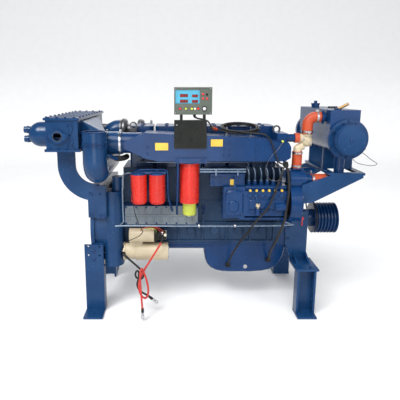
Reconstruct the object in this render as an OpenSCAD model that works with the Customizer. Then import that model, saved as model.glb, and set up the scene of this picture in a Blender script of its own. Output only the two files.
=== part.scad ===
// Marine diesel engine: an inline six with its coolers, pumps, starter and panel, on four feet.
// X runs from the flywheel end to the pulley end, Y points to the exhaust side and Z is up.
// The origin is on the crank axis, in the rear face of the flywheel housing.

/* [Crank and cylinders] */
// Distance from one cylinder centre to the next
cyl_pitch = 150; // [146:1:156]
// Bore of each cylinder
bore_d = 126; // [118:1:130]
// Stroke of the pistons
stroke = 130; // [124:1:136]
// Connecting rod length between its centres
rod_l = 219; // [214:1:226]
// Height of a piston crown above its pin
crown_h = 80; // [74:1:84]
// Main journal diameter
main_d = 100; // [94:1:104]
// Crankpin diameter
pin_d = 82; // [76:1:86]
// Radius of the crank webs
web_r = 106; // [100:1:110]

/* [Block and heads] */
// Width of the crankcase over its skirts
skirt_w = 292; // [284:1:294]
// Depth of the skirts below the crank axis
skirt_h = 120; // [112:1:130]
// Width of the upper block
deck_w = 286; // [278:1:290]
// Solid length beyond the end cylinders
end_l = 40; // [36:1:46]
// Wall of the crankcase
case_wall = 12; // [9:1:16]
// Height of the cylinder heads
head_h = 120; // [110:1:130]
// Width of the cylinder heads
head_w = 270; // [256:1:280]
// Height of the rocker covers
cover_h = 130; // [110:1:136]
// Width of the rocker covers
cover_w = 208; // [196:1:214]
// Wall of the rocker covers
cover_wall = 6; // [4:0.5:8]

/* [Timing train] */
// Tooth module of the timing gears
gear_m = 3.2; // [3.1:0.05:3.3]
// Width of the timing gears
gear_w = 26; // [20:1:32]
// Length of the timing case along the crank
case_t = 66; // [58:1:80]
// Gap between the gears and the case wall
gear_room = 6; // [4:1:10]

/* [Oil pan] */
// Depth of the shallow pan below the skirts
pan_h = 47; // [40:1:56]
// Depth of the sump below the skirts
sump_h = 196; // [180:2:206]
// Thickness of the pan flange
pan_flange_t = 14; // [10:1:18]
// Wall of the pan
pan_wall = 6; // [4:1:9]

/* [Flywheel and housing] */
// Length of the flywheel housing
housing_l = 190; // [180:1:205]
// Outer diameter of the housing face
face_d = 552.4; // [546:0.2:560]
// Register bore of the housing face
register_d = 511.18; // [505:0.01:516]
// Bolt circle of the housing face
face_pcd = 530.22; // [528:0.01:532]
// Bolt holes in the housing face
face_hole_d = 11.9; // [10:0.1:12.6]
// Depth of the register
register_l = 22; // [18:1:30]
// Tooth module of the ring gear
ring_m = 3; // [2.9:0.05:3.1]
// Width of the ring gear
ring_w = 22; // [18:1:28]
// Thickness of the flywheel
flywheel_t = 70; // [56:1:80]

/* [Feet] */
// Height of the crank axis above the floor
foot_drop = 520; // [500:5:540]
// Distance from the crank axis to the outer faces of the legs
leg_y = 275; // [272:1:282]
// Width of each leg
leg_w = 114; // [100:1:124]
// Depth of each leg
leg_d = 60; // [50:1:70]
// Plate thickness of the legs
leg_t = 12; // [9:1:15]
// Length of each foot plate along the engine
foot_w = 116; // [114:1:130]
// Depth of each foot plate across the engine
foot_d = 115; // [104:1:124]
// Bolt holes in the foot plates
foot_hole_d = 18; // [14:1:22]

/* [Intake] */
// Length of the intake manifold
manifold_l = 946; // [920:2:960]
// Height of the intake manifold at the flywheel end
manifold_h = 162; // [150:1:176]
// Distance from the crank axis to the manifold front face
manifold_y = 332; // [322:1:342]
// Wall of the manifold
manifold_wall = 7; // [5:1:10]
// Outer diameter of the charge air hose
charge_d = 132; // [120:1:140]
// Wall of the charge air hose
charge_wall = 5; // [4:0.5:7]

/* [Intercooler] */
// Length of the intercooler across the engine
cooler_d = 780; // [740:5:800]
// Width of the intercooler
cooler_w = 182; // [174:1:190]
// Height of the intercooler
cooler_h = 190; // [180:1:200]
// Overhang of its flanges
cooler_lip = 9; // [6:1:12]
// Thickness of its flanges
cooler_flange_t = 14; // [10:1:18]
// Diameter of the air elbow
elbow_d = 134; // [124:1:140]

/* [Exchanger] */
// Length of the heat exchanger across the engine
shell_l = 690; // [660:5:710]
// Diameter of the exchanger shell
shell_d = 196; // [186:1:206]
// Diameter of the end cap flanges
cap_flange_d = 222; // [214:1:230]
// Diameter of the end cap domes
cap_d = 170; // [156:1:178]
// Width of the header tank
tank_w = 164; // [150:1:172]
// Length of the header tank across the engine
tank_l = 570; // [540:5:590]
// Height of the tank top above the shell axis
tank_h = 160; // [150:1:170]
// Diameter of the large coolant hoses
hose_d = 60; // [54:1:64]
// Wall of the coolant hoses
hose_wall = 5; // [4:0.5:7]

/* [Filters and pump] */
// Diameter of the oil filters
oil_filter_d = 93; // [86:1:98]
// Height of the oil filters
oil_filter_h = 172; // [160:2:184]
// Diameter of the fuel filter
fuel_filter_d = 112; // [104:1:118]
// Height of the fuel filter
fuel_filter_h = 236; // [220:2:246]
// Length of the injection pump body
pump_l = 246; // [236:2:256]
// Depth of the injection pump across the engine
pump_d = 124; // [112:2:128]
// Length of the governor
governor_l = 124; // [110:2:132]

/* [Starter] */
// Diameter of the starter motor
starter_d = 112; // [104:1:116]
// Length of the starter motor body
starter_l = 196; // [180:2:210]
// Diameter of the starter solenoid
solenoid_d = 86; // [76:1:90]

/* [Pulley] */
// Diameter of the crank pulley
pulley_d = 200; // [188:2:210]
// Number of belt grooves
groove_n = 7; // [5:1:8]
// Pitch of the belt grooves
groove_pitch = 20.5; // [19:0.5:22]
// Diameter of the vibration damper
damper_d = 270; // [256:2:276]

/* [Panel] */
// Width of the instrument panel
panel_w = 210; // [200:2:220]
// Height of the instrument panel
panel_h = 150; // [144:2:160]
// Depth of the instrument panel box
panel_d = 62; // [50:2:70]
// Travel of the panel buttons
button_travel = 1.5; // [1:0.1:2]

/* [Hidden] */
$fn = 48;

// Overrun of every cut
over = 1;
// Clearance between pieces that don't touch
gap = 0.3;
// Radial clearance of a shaft in its bore
run_fit = 0.05;
cyl_n = 6;
throw_angles = [0, 120, 240, 240, 120, 0];
crank_teeth = 30;
cam_teeth = 60;
water_teeth = 24;
ring_teeth = 158;
pinion_teeth = 12;
cam_dir = 129.7;
pump_dir = 158;
water_dir = 94.6;
starter_dir = 217.5;

// Stations along the engine
block_x0 = housing_l;
block_l = cyl_n * cyl_pitch + 2 * end_l;
block_x1 = block_x0 + block_l;
case_x1 = block_x1 + case_t;
deck_z = stroke / 2 + rod_l + crown_h;
head_top = deck_z + head_h;
cover_top = head_top + cover_h;
function cyl_x(i) = block_x0 + end_l + cyl_pitch * (i + 1 / 2);
function main_x(i) = block_x0 + end_l + cyl_pitch * i;

// Timing train, as places in the plane across the engine
function gear_r(teeth) = gear_m * teeth / 2;
function toward(dir, r) = [r * cos(dir), r * sin(dir)];
cam_c = toward(cam_dir, gear_r(crank_teeth) + gear_r(cam_teeth));
pump_c = cam_c + toward(pump_dir, 2 * gear_r(cam_teeth));
water_c = pump_c + toward(water_dir, gear_r(cam_teeth) + gear_r(water_teeth));
function mesh(phase, teeth, dir, other) = dir + 180 - (phase - dir) * teeth / other + 180 / other;
cam_phase = mesh(cam_dir, crank_teeth, cam_dir, cam_teeth);
pump_phase = mesh(cam_phase, cam_teeth, pump_dir, cam_teeth);
water_phase = mesh(pump_phase, cam_teeth, water_dir, water_teeth);
gear_x = block_x1 + gear_room;

// Crank train
web_t = 24;
bulkhead_t = 46;
big_end_r = 56;
sweep_z = stroke / 2 + big_end_r + gear_room;
crank_roof = 150;
nose_r = 38;
cam_shaft_r = 15;
cam_journal_r = 20;
cam_lobe_r = 21;
function pin_z(a) = stroke / 2 * cos(a) + sqrt(pow(rod_l, 2) - pow(stroke / 2 * sin(a), 2));

// Flywheel end
ring_r = ring_m * ring_teeth / 2;
pinion_r = ring_m * pinion_teeth / 2;
starter_c = toward(starter_dir, ring_r + pinion_r);
drum_l = 0.6 * housing_l;
wheel_x = 0.16 * housing_l;
bell_w = 2 * (leg_y - leg_t);

// Orders the common extrusions
module slab_x(x, l) translate([x, 0, 0]) rotate([90, 0, 90]) linear_extrude(l) children();
module slab_y(y, l) translate([0, y + l, 0]) rotate([90, 0, 0]) linear_extrude(l) children();
module slab_z(z, l) translate([0, 0, z]) linear_extrude(l) children();
module rod_x(p, r, l) translate(p) rotate([0, 90, 0]) cylinder(r = r, h = l);
module rod_y(p, r, l) translate(p) rotate([-90, 0, 0]) cylinder(r = r, h = l);
module rod_z(p, r, l) translate(p) cylinder(r = r, h = l);
module bush_x(p, ro, ri, l) {
    difference() {
        rod_x(p, ro, l);
        rod_x(p - [over, 0, 0], ri, l + 2 * over);
    }
}
module bush_y(p, ro, ri, l) {
    difference() {
        rod_y(p, ro, l);
        rod_y(p - [0, over, 0], ri, l + 2 * over);
    }
}
module bush_z(p, ro, ri, l) {
    difference() {
        rod_z(p, ro, l);
        rod_z(p - [0, 0, over], ri, l + 2 * over);
    }
}
// Box between two corners
module block(a, b) translate(a) cube(b - a);
// Rectangle with round corners about its centre
module pad(w, h, r) {
    square([w, h - 2 * r], center = true);
    square([w - 2 * r, h], center = true);
    for (x = [-1, 1], y = [-1, 1]) translate([x * (w / 2 - r), y * (h / 2 - r)]) circle(r);
}
// Toothed outline with a tooth centred on the phase angle
root_share = 0.34;
tip_share = 0.12;
module teeth(n, m, phase) {
    pitch = 360 / n;
    root = m * n / 2 - 1.25 * m;
    tip = m * n / 2 + 0.95 * m;
    polygon([
        for (k = [0:n - 1], c = [[root, -root_share], [tip, -tip_share], [tip, tip_share], [root, root_share]])
            toward(phase + pitch * (k + c[1]), c[0])
    ]);
}
module gear(x, c, n, m, phase, w, bore) {
    translate([0, c[0], c[1]]) slab_x(x, w) difference() {
        teeth(n, m, phase);
        circle(bore);
    }
}
// Tube swept along points, with its rings carried square to the route
function unit(v) = v / norm(v);
function along(p, i) = unit(p[min(i + 1, len(p) - 1)] - p[max(i - 1, 0)]);
function first_side(t) = unit(cross(t, abs(t.z) < 0.9 ? [0, 0, 1] : [1, 0, 0]));
function carried(n, t) = unit(n - (n * t) * t);
function sides_of(p, i = 0, n = [0, 0, 1]) =
    i >= len(p) ? [] :
    let (t = along(p, i), m = i == 0 ? first_side(t) : carried(n, t))
    concat([m], sides_of(p, i + 1, m));
module sweep(p, r, sides = 8) {
    m = sides_of(p);
    points = [
        for (i = [0:len(p) - 1], j = [0:sides - 1])
            p[i] + r * (cos(360 * j / sides) * m[i] + sin(360 * j / sides) * cross(along(p, i), m[i]))
    ];
    last = (len(p) - 1) * sides;
    polyhedron(points, concat(
        [[for (j = [0:sides - 1]) j]],
        [[for (j = [sides - 1:-1:0]) last + j]],
        [for (i = [0:len(p) - 2], j = [0:sides - 1])
            let (a = i * sides + j, b = i * sides + (j + 1) % sides) [a, a + sides, b + sides]],
        [for (i = [0:len(p) - 2], j = [0:sides - 1])
            let (a = i * sides + j, b = i * sides + (j + 1) % sides) [a, b + sides, b]]
    ));
}
// Rounds a route of chosen points, with so many steps to each stretch
function blend(a, b, c, d, t) =
    0.5 * ((2 * b) + (c - a) * t + (2 * a - 5 * b + 4 * c - d) * t * t + (3 * b - a - 3 * c + d) * t * t * t);
function rounded(p, steps) = concat(
    [for (i = [0:len(p) - 2], s = [0:steps - 1])
        blend(p[max(i - 1, 0)], p[i], p[i + 1], p[min(i + 2, len(p) - 1)], s / steps)],
    [p[len(p) - 1]]
);

// Cast block with its crank bays, bores and cam tunnel
module engine_block() color("slategray") {
    difference() {
        slab_x(block_x0, block_l) polygon([
            [-skirt_w / 2, -skirt_h], [skirt_w / 2, -skirt_h], [skirt_w / 2, crank_roof],
            [deck_w / 2, crank_roof + case_wall], [deck_w / 2, deck_z], [-deck_w / 2, deck_z],
            [-deck_w / 2, crank_roof + case_wall], [-skirt_w / 2, crank_roof]
        ]);
        for (i = [0:cyl_n - 1]) {
            bay_x = main_x(i) + bulkhead_t / 2;
            bay_y = skirt_w / 2 - case_wall;
            block([bay_x, -bay_y, -skirt_h - over], [main_x(i + 1) - bulkhead_t / 2, bay_y, crank_roof]);
            rod_z([cyl_x(i), 0, crank_roof - bore_d / 4], bore_d / 2, deck_z);
            for (s = [-1, 1]) rod_z(
                [cyl_x(i) + s * push_x, cam_c[0], crank_roof - over], push_hole_r, deck_z);
        }
        rod_x([block_x0 - over, 0, 0], main_d / 2 + run_fit, block_l + 2 * over);
        rod_x([block_x0 + case_wall, cam_c[0], cam_c[1]], cam_journal_r + run_fit, block_l);
    }
    // Tube of the dipstick and the core plugs on the pump side
    difference() {
        block([stick_x - 2 * stick_r, -skirt_w / 2 - stick_out - 2 * stick_r, -skirt_h / 5],
            [stick_x + 2 * stick_r, -skirt_w / 2 + over, skirt_h * 0.6]);
        rod_z([stick_x, -skirt_w / 2 - stick_out, -skirt_h / 8], stick_r - gap + run_fit, skirt_h);
    }
    for (i = [0:cyl_n - 1]) rod_y(
        [cyl_x(i), -skirt_w / 2 - case_wall / 2, -skirt_h / 3], case_wall * 2, case_wall / 2);
}
push_x = 0.16 * cyl_pitch;
push_hole_r = 8;
push_r = 5;

// Six separate heads with their ports and pushrod holes
module cylinder_heads() color("midnightblue") {
    for (i = [0:cyl_n - 1]) difference() {
        translate([cyl_x(i), 0, 0]) slab_z(deck_z, head_h) pad(cyl_pitch - case_wall / 2, head_w, case_wall);
        for (s = [-1, 1]) {
            rod_z([cyl_x(i) + s * push_x, cam_c[0], deck_z - over], push_hole_r, head_h + 2 * over);
            rod_z([cyl_x(i) + s * valve_x, 0, deck_z - over], valve_r + run_fit, head_h + 2 * over);
            rod_z([cyl_x(i) + s * valve_x, 0, deck_z - over], valve_head_r + gap, over + valve_head_t);
        }
        rod_y([cyl_x(i), -head_w / 2 - over, port_z], port_r, head_w / 4);
        rod_y([cyl_x(i), head_w / 4, deck_z + head_h / 2], port_r, head_w / 4 + over);
    }
}
valve_x = 0.2 * cyl_pitch;
valve_r = 6;
valve_head_r = 24;
valve_head_t = 7;
port_r = 22;
port_z = deck_z + 0.72 * head_h;

// Hollow rocker covers, one over each head
module rocker_covers() color("midnightblue") {
    for (i = [0:cyl_n - 1]) translate([cyl_x(i), 0, 0]) {
        difference() {
            slab_z(head_top, cover_h) pad(cyl_pitch - case_wall, cover_w, 2 * case_wall);
            slab_z(head_top - over, cover_h - cover_wall + over)
                pad(cyl_pitch - case_wall - 2 * cover_wall, cover_w - 2 * cover_wall, 2 * case_wall - cover_wall);
        }
        for (s = [-1, 1]) rod_z([0, s * cover_w / 4, cover_top], cover_wall * 2, cover_wall);
    }
}

// Pushrods, rockers, rocker shafts and valves
rocker_z = head_top + cover_h / 2;
rocker_shaft_r = 11;
module valve_gear() color("silver") {
    for (i = [0:cyl_n - 1]) {
        shaft_y = cam_c[0] / 2;
        rod_x([cyl_x(i) - cyl_pitch / 3, shaft_y, rocker_z], rocker_shaft_r, cyl_pitch * 2 / 3);
        for (s = [-1, 1]) {
            block([cyl_x(i) + s * cyl_pitch / 3 - push_r, shaft_y - push_r, head_top],
                [cyl_x(i) + s * cyl_pitch / 3 + push_r, shaft_y + push_r, rocker_z - rocker_shaft_r / 2]);
            rod_z([cyl_x(i) + s * push_x, cam_c[0], cam_c[1] + cam_lobe_r + gap], push_r,
                rocker_z - cam_c[1] - cam_lobe_r - gap);
            rod_z([cyl_x(i) + s * valve_x, 0, deck_z + gap], valve_r, rocker_z - deck_z - rocker_shaft_r);
            rod_z([cyl_x(i) + s * valve_x, 0, deck_z + gap], valve_head_r, valve_head_t - 2 * gap);
            rocker_x = cyl_x(i) + s * (push_x + valve_x) / 2;
            difference() {
                union() {
                    block([rocker_x - 2 * push_r, cam_c[0] - push_r, rocker_z - push_r + gap],
                        [rocker_x + 2 * push_r, valve_r, rocker_z + 2 * push_r]);
                    rod_x([rocker_x - 2 * push_r, shaft_y, rocker_z], rocker_shaft_r + push_r, 4 * push_r);
                }
                rod_x([rocker_x - 3 * push_r, shaft_y, rocker_z], rocker_shaft_r + run_fit, 6 * push_r);
                for (q = [[push_x, cam_c[0], push_r], [valve_x, 0, valve_r]])
                    rod_z([cyl_x(i) + s * q[0], q[1], deck_z], q[2] + run_fit,
                        rocker_z - deck_z + gap);
            }
        }
    }
}

// Pistons, held where the crank angles of the rest pose put them
piston_fit = 0.3;
wrist_r = 23;
module pistons() color("silver") {
    for (i = [0:cyl_n - 1]) difference() {
        rod_z([cyl_x(i), 0, pin_z(throw_angles[i]) - crown_h * 0.6], bore_d / 2 - piston_fit, crown_h * 1.6);
        rod_z([cyl_x(i), 0, pin_z(throw_angles[i]) - crown_h * 0.6 - over],
            bore_d / 2 - case_wall, crown_h + over);
        rod_x([cyl_x(i) - bore_d / 2, 0, pin_z(throw_angles[i])], wrist_r - push_r + run_fit, bore_d);
    }
}

// Rods, opened at the big end: each shank stops above the sweep of its throw
module connecting_rods() color("gray") {
    for (i = [0:cyl_n - 1]) {
        pin = pin_z(throw_angles[i]);
        rod_x([cyl_x(i) - bore_d * 0.46, 0, pin], wrist_r - push_r, bore_d * 0.92);
        difference() {
            union() {
                rod_x([cyl_x(i) - wrist_r / 2, 0, pin], wrist_r + push_r, wrist_r);
                block([cyl_x(i) - wrist_r / 2, -wrist_r * 0.7, sweep_z],
                    [cyl_x(i) + wrist_r / 2, wrist_r * 0.7, pin]);
            }
            rod_x([cyl_x(i) - wrist_r, 0, pin], wrist_r - push_r + run_fit, 2 * wrist_r);
        }
    }
}

// Crankshaft with its webs, gear and the big end rings that ride on it
crank_rear_x = wheel_x + flywheel_t + gap;
module crankshaft() color("dimgray") {
    nose_end = case_x1 + damper_l * 1.6;
    rod_x([crank_rear_x, 0, 0], main_d * 0.75, case_wall * 1.4);
    rod_x([crank_rear_x, 0, 0], main_d / 2, main_x(0) + bulkhead_t / 2 - crank_rear_x);
    rod_x([main_x(cyl_n) - bulkhead_t / 2, 0, 0], main_d / 2, block_x1 - main_x(cyl_n) + bulkhead_t / 2);
    rod_x([block_x1 - over, 0, 0], nose_r, nose_end - block_x1 + over);
    for (i = [1:cyl_n - 1]) rod_x([main_x(i) - bulkhead_t / 2, 0, 0], main_d / 2, bulkhead_t);
    for (i = [0:cyl_n - 1]) {
        throw = toward(90 + throw_angles[i], stroke / 2);
        bay_x = main_x(i) + bulkhead_t / 2;
        bay_l = cyl_pitch - bulkhead_t;
        rod_x([bay_x, throw[0], throw[1]], pin_d / 2, bay_l);
        for (x = [bay_x + gap, bay_x + bay_l - web_t - gap]) slab_x(x, web_t)
            rotate(throw_angles[i]) {
                circle(main_d * 0.62);
                translate([0, stroke / 2]) circle(pin_d * 0.62);
                translate([-pin_d / 2, 0]) square([pin_d, stroke / 2]);
                intersection() {
                    circle(web_r);
                    translate([-web_r * 0.8, -web_r]) square([web_r * 1.6, web_r]);
                }
            }
        bush_x([bay_x + web_t + 2 * gap, throw[0], throw[1]], big_end_r, pin_d / 2 + run_fit,
            bay_l - 2 * web_t - 4 * gap);
    }
    gear(gear_x, [0, 0], crank_teeth, gear_m, cam_dir, gear_w, nose_r + run_fit);
}

// Camshaft with twelve lobes and its gear
module camshaft() color("dimgray") {
    bay_x = block_x0 + 2 * case_wall;
    rod_x([bay_x, cam_c[0], cam_c[1]], cam_shaft_r, gear_x + gear_w - bay_x);
    for (i = [0:cyl_n]) rod_x([max(main_x(i) - bulkhead_t / 2, bay_x), cam_c[0], cam_c[1]],
        cam_journal_r, bulkhead_t);
    for (i = [0:cyl_n - 1], s = [-1, 1])
        translate([0, cam_c[0], cam_c[1]]) slab_x(cyl_x(i) + s * push_x - push_hole_r, 2 * push_hole_r)
            rotate(throw_angles[i] / 2 + 50 * s) {
                circle(cam_shaft_r + 1.5 * run_fit);
                translate([cam_lobe_r - cam_shaft_r * 0.6, 0]) circle(cam_shaft_r * 0.6);
            }
    gear(gear_x, cam_c, cam_teeth, gear_m, cam_phase, gear_w, cam_shaft_r + run_fit);
}

// Timing case at the pulley end, hollow round its gears
module case_outline(room) {
    translate([0, 0]) circle(gear_r(crank_teeth) + skirt_w / 8 + room);
    translate([cam_c[0], cam_c[1]]) circle(gear_r(cam_teeth) + gear_m + room);
    translate([pump_c[0], pump_c[1]]) circle(gear_r(cam_teeth) + gear_m + room);
    translate([water_c[0], water_c[1]]) circle(gear_r(water_teeth) + gear_m + room);
}
module timing_case() color("midnightblue") {
    difference() {
        union() {
            slab_x(block_x1, case_t) case_outline(gear_room + case_wall);
            block([block_x1, -skirt_w / 2, -skirt_h], [case_x1, skirt_w / 2, crank_roof + head_h]);
            rod_x(cock_c - [over, 0, 0], cock_r, 3 * cock_r + over - gap);
            rod_z(cock_c + [2 * cock_r, 0, -2.4 * cock_r], cock_r * 0.6, 2 * cock_r);
        }
        rod_x(cock_c + [cock_r, 0, 0], cock_r / 2 + run_fit, 2 * cock_r);
        slab_x(block_x1 - over, case_t - case_wall + over) case_outline(gear_room);
        rod_x([block_x1, 0, 0], nose_r + 2 * gap, case_t + over);
        rod_x([block_x1, water_c[0], water_c[1]], water_shaft_r + run_fit, case_t + over);
    }
}
water_shaft_r = 10;

// Pan with a shallow part at the flywheel end and a deep sump
sump_x0 = block_x0 + 0.51 * block_l;
sump_x1 = block_x0 + 0.99 * block_l;
sump_foot = [sump_x0 + 0.05 * block_l, sump_x1 - 0.04 * block_l];
pan_z = -skirt_h;
module pan_profile(t) polygon([
    [block_x0 + t, pan_z + over], [block_x0 + t, pan_z - pan_h + t], [sump_x0 + t, pan_z - pan_h + t],
    [sump_foot[0] + t / 2, pan_z - sump_h + t], [sump_foot[1] - t / 2, pan_z - sump_h + t],
    [sump_x1 - t, pan_z - pan_h], [sump_x1 - t, pan_z + over]
]);
module oil_pan() color("midnightblue") {
    difference() {
        union() {
            intersection() {
                slab_y(-skirt_w / 2 + 2 * pan_wall, skirt_w - 4 * pan_wall) pan_profile(0);
                block([0, -skirt_w, pan_z - sump_h - over], [case_x1, skirt_w, pan_z]);
            }
            block([block_x0, -skirt_w / 2, pan_z - pan_flange_t], [case_x1, skirt_w / 2, pan_z]);
        }
        slab_y(-skirt_w / 2 + 3 * pan_wall, skirt_w - 6 * pan_wall) pan_profile(pan_wall);
    }
    // Drain plug boss
    rod_x([sump_foot[1], 0, pan_z - sump_h * 0.8], pan_flange_t, 2 * pan_flange_t);
}
stick_r = 3;
stick_x = block_x0 + 0.505 * block_l;

// Dipstick beside the block, drawn up out of its tube
stick_out = 14;
module dipstick() color("gold") {
    base = [stick_x, -skirt_w / 2 - stick_out, 0];
    rod_z(base, stick_r - gap, skirt_h * 0.9);
    translate(base + [0, 0, skirt_h * 0.9]) rotate([90, 0, 0]) rotate_extrude() translate([stick_out * 0.7, 0])
        circle(stick_r);
}

// Flywheel with its ring gear
module flywheel() color("dimgray") {
    difference() {
        rod_x([wheel_x, 0, 0], ring_r - 3 * ring_m, flywheel_t);
        rod_x([wheel_x - over, 0, 0], ring_r * 0.72, flywheel_t * 0.45 + over);
        rod_x([wheel_x - over, 0, 0], main_d * 0.3, flywheel_t + 2 * over);
        for (k = [0:7]) rod_x([wheel_x - over, main_d * 0.5 * cos(45 * k), main_d * 0.5 * sin(45 * k)],
            main_d * 0.07, flywheel_t + 2 * over);
    }
    slab_x(wheel_x + flywheel_t - ring_w, ring_w) difference() {
        teeth(ring_teeth, ring_m, 0);
        circle(ring_r - 3 * ring_m + run_fit);
    }
}

// Flywheel housing with its register, bolt circle, bell and starter bore
cover_r = 0.17 * housing_l;
cover_z = 0.85 * face_d / 2;
module flywheel_housing() color("steelblue") {
    bell_z = 0.425 * face_d;
    corner_r = housing_l / 3;
    pad_t = leg_y - leg_t;
    difference() {
        union() {
            rod_x([0, 0, 0], face_d / 2, register_l);
            rod_x([0, 0, 0], face_pcd / 2 - 0.62 * face_hole_d, drum_l);
            for (s = [-1, 1]) {
                translate([0, s * (bell_w / 2 - corner_r), 0]) intersection() {
                    rod_z([housing_l - corner_r, 0, -bell_z], corner_r, 2 * bell_z);
                    block([0, -corner_r, -bell_z], [housing_l, corner_r, bell_z]);
                }
                block([0, min(s * pad_t, 0), -0.36 * face_d],
                    [drum_l * 0.62, max(s * pad_t, 0), -0.15 * face_d]);
                block([0, min(s * pad_t, 0), 0.14 * face_d],
                    [drum_l * 0.88, max(s * pad_t, 0), 0.47 * face_d]);
            }
            block([drum_l - over, -bell_w / 2 + corner_r, -bell_z], [housing_l, bell_w / 2 - corner_r, bell_z]);
            rod_z([housing_l - cover_r, -bell_w / 2 + 2 * cover_r, 0], cover_r, cover_z * 1.36);
        }
        rod_x([-over, 0, 0], register_d / 2, register_l + over);
        rod_x([register_l - over, 0, 0], register_d / 2 - register_l / 4, drum_l - register_l + over);
        rod_x([drum_l - over, 0, 0], register_d * 0.36, housing_l - drum_l - case_wall);
        rod_x([drum_l - over, 0, 0], main_d / 2 + gap, housing_l);
        rod_x([register_l + 3 * over, starter_c[0], starter_c[1]], starter_d * 0.34, housing_l - register_l);
        for (k = [0:11]) rod_x(
            [-over, face_pcd / 2 * cos(15 + 30 * k), face_pcd / 2 * sin(15 + 30 * k)], face_hole_d / 2,
            register_l + 2 * over);
    }
}

// Pulley with its grooves on a hub, and the damper behind it
damper_l = 58;
pulley_x = case_x1 + 3 * damper_l;
pulley_end = pulley_x + groove_n * groove_pitch + groove_pitch / 3;
groove_depth = 14;
module crank_pulley() color("darkslategray") {
    damper_x = case_x1 + damper_l / 3;
    bush_x([damper_x, 0, 0], damper_d / 2, nose_r + run_fit, damper_l / 2);
    bush_x([damper_x + damper_l / 2, 0, 0], nose_r * 1.6, nose_r + run_fit, damper_l * 0.8);
    difference() {
        translate([pulley_x, 0, 0]) rotate([0, 90, 0]) rotate_extrude() polygon(concat(
            [[0, 0], [pulley_d / 2, 0]],
            [for (k = [0:groove_n - 1], c = [[0.16, 0], [0.4, 1], [0.76, 1], [1, 0]])
                [pulley_d / 2 - groove_depth * c[1], groove_pitch * (k + c[0])]],
            [[pulley_d / 2, groove_n * groove_pitch + groove_pitch / 3],
                [0, groove_n * groove_pitch + groove_pitch / 3]]
        ));
        rod_x([pulley_end - groove_pitch * 4, 0, 0], pulley_d * 0.34, groove_pitch * 5);
    }
    // Shaft from the damper hub to the pulley
    rod_x([damper_x + damper_l * 1.3, 0, 0], nose_r * 1.5, pulley_x - damper_x - damper_l * 1.3);
}

// Four legs, each a web with side flanges and a foot plate
leg_x = [housing_l * 0.085, case_x1 + leg_w * 0.56];
leg_top = [-0.16 * face_d, -0.45 * foot_drop];
module leg(x, top, rib_y, rib_top) {
    web_y = leg_y - leg_t;
    difference() {
        union() {
            block([x - leg_w / 2, web_y, -foot_drop], [x + leg_w / 2, leg_y, top]);
            for (s = [-1, 1]) translate([x + s * (leg_w - leg_t) / 2, 0, 0])
                block([-leg_t / 2, rib_y, -foot_drop], [leg_t / 2, rib_y + leg_d, rib_top]);
            block([x - foot_w / 2, web_y, -foot_drop], [x + foot_w / 2, web_y + foot_d, -foot_drop + leg_t]);
        }
        rod_z([x, web_y + foot_d * 0.6, -foot_drop - over], foot_hole_d / 2, leg_t + 2 * over);
        for (s = [-1, 1], z = [0.3, 1.8]) if (rib_y < web_y)
            rod_y([x + s * leg_w * 0.3, web_y - over, top - z * leg_d / 1.6], leg_t / 2, leg_t + 2 * over);
    }
}
module legs() color("steelblue") {
    for (side = [0, 1]) mirror([0, side, 0]) {
        leg(leg_x[0], leg_top[0], leg_y - leg_t / 2 - leg_d, -0.43 * face_d);
        leg(leg_x[1], leg_top[1], leg_y - leg_t / 2, leg_top[1]);
    }
}

// Brackets from the block down to the pulley end legs
module front_supports() color("steelblue") {
    x0 = case_x1 - case_t / 2;
    x1 = leg_x[1] + leg_w / 2 + leg_t;
    plate_y = skirt_w / 2 + gap;
    for (side = [0, 1]) mirror([0, side, 0]) {
        block([leg_x[1] - leg_w / 2 - leg_t, plate_y, leg_top[1]], [x1, leg_y + leg_d, leg_top[1] + leg_t]);
        slab_y(plate_y, leg_t) polygon([
            [x0, -skirt_h], [x0, -skirt_h * 0.1], [case_x1 + gap, -skirt_h * 0.1],
            [case_x1 + gap, skirt_h * 0.4], [x1 - leg_w / 4, skirt_h * 0.8],
            [x1 - leg_w / 4, leg_top[1] + leg_t / 2], [leg_x[1] - leg_w / 2, leg_top[1] + leg_t / 2]
        ]);
        for (x = [leg_x[1] - leg_w * 0.4, x1 - leg_w / 4 - leg_t]) slab_x(x, leg_t)
            polygon([
                [plate_y + leg_t / 2, leg_top[1] + leg_t / 2], [leg_y, leg_top[1] + leg_t / 2],
                [plate_y + leg_t / 2, leg_top[1] + leg_d]
            ]);
    }
}

// Intake manifold, a tapering box with a spigot at the flywheel end and six short runners
manifold_x0 = block_x0 + 0.03 * block_l;
manifold_z0 = deck_z + 0.57 * head_h;
manifold_back = -head_w / 2 - 1.25 * case_wall;
manifold_shares = [
    [0, 0.45], [0, 0.68], [0.128, 1], [0.794, 0.83], [0.93, 0.67], [0.985, 0.66], [1, 0.5],
    [1, 0.12], [0.967, 0], [0.2, 0], [0.126, 0.1]
];
charge_c = [0.5 * (manifold_back - manifold_y), manifold_z0 + 0.59 * manifold_h];
charge_x0 = 0.53 * housing_l;
charge_l = 0.54 * housing_l;
spigot_r = charge_d / 2 - charge_wall - gap;
spigot_l = charge_l * 0.36;
module manifold_profile(t) polygon([
    for (p = manifold_shares) [
        manifold_x0 + manifold_l / 2 + (manifold_l - 2 * t) * (p[0] - 1 / 2),
        manifold_z0 + manifold_h / 2 + (manifold_h - 2 * t) * (p[1] - 1 / 2)
    ]
]);
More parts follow.
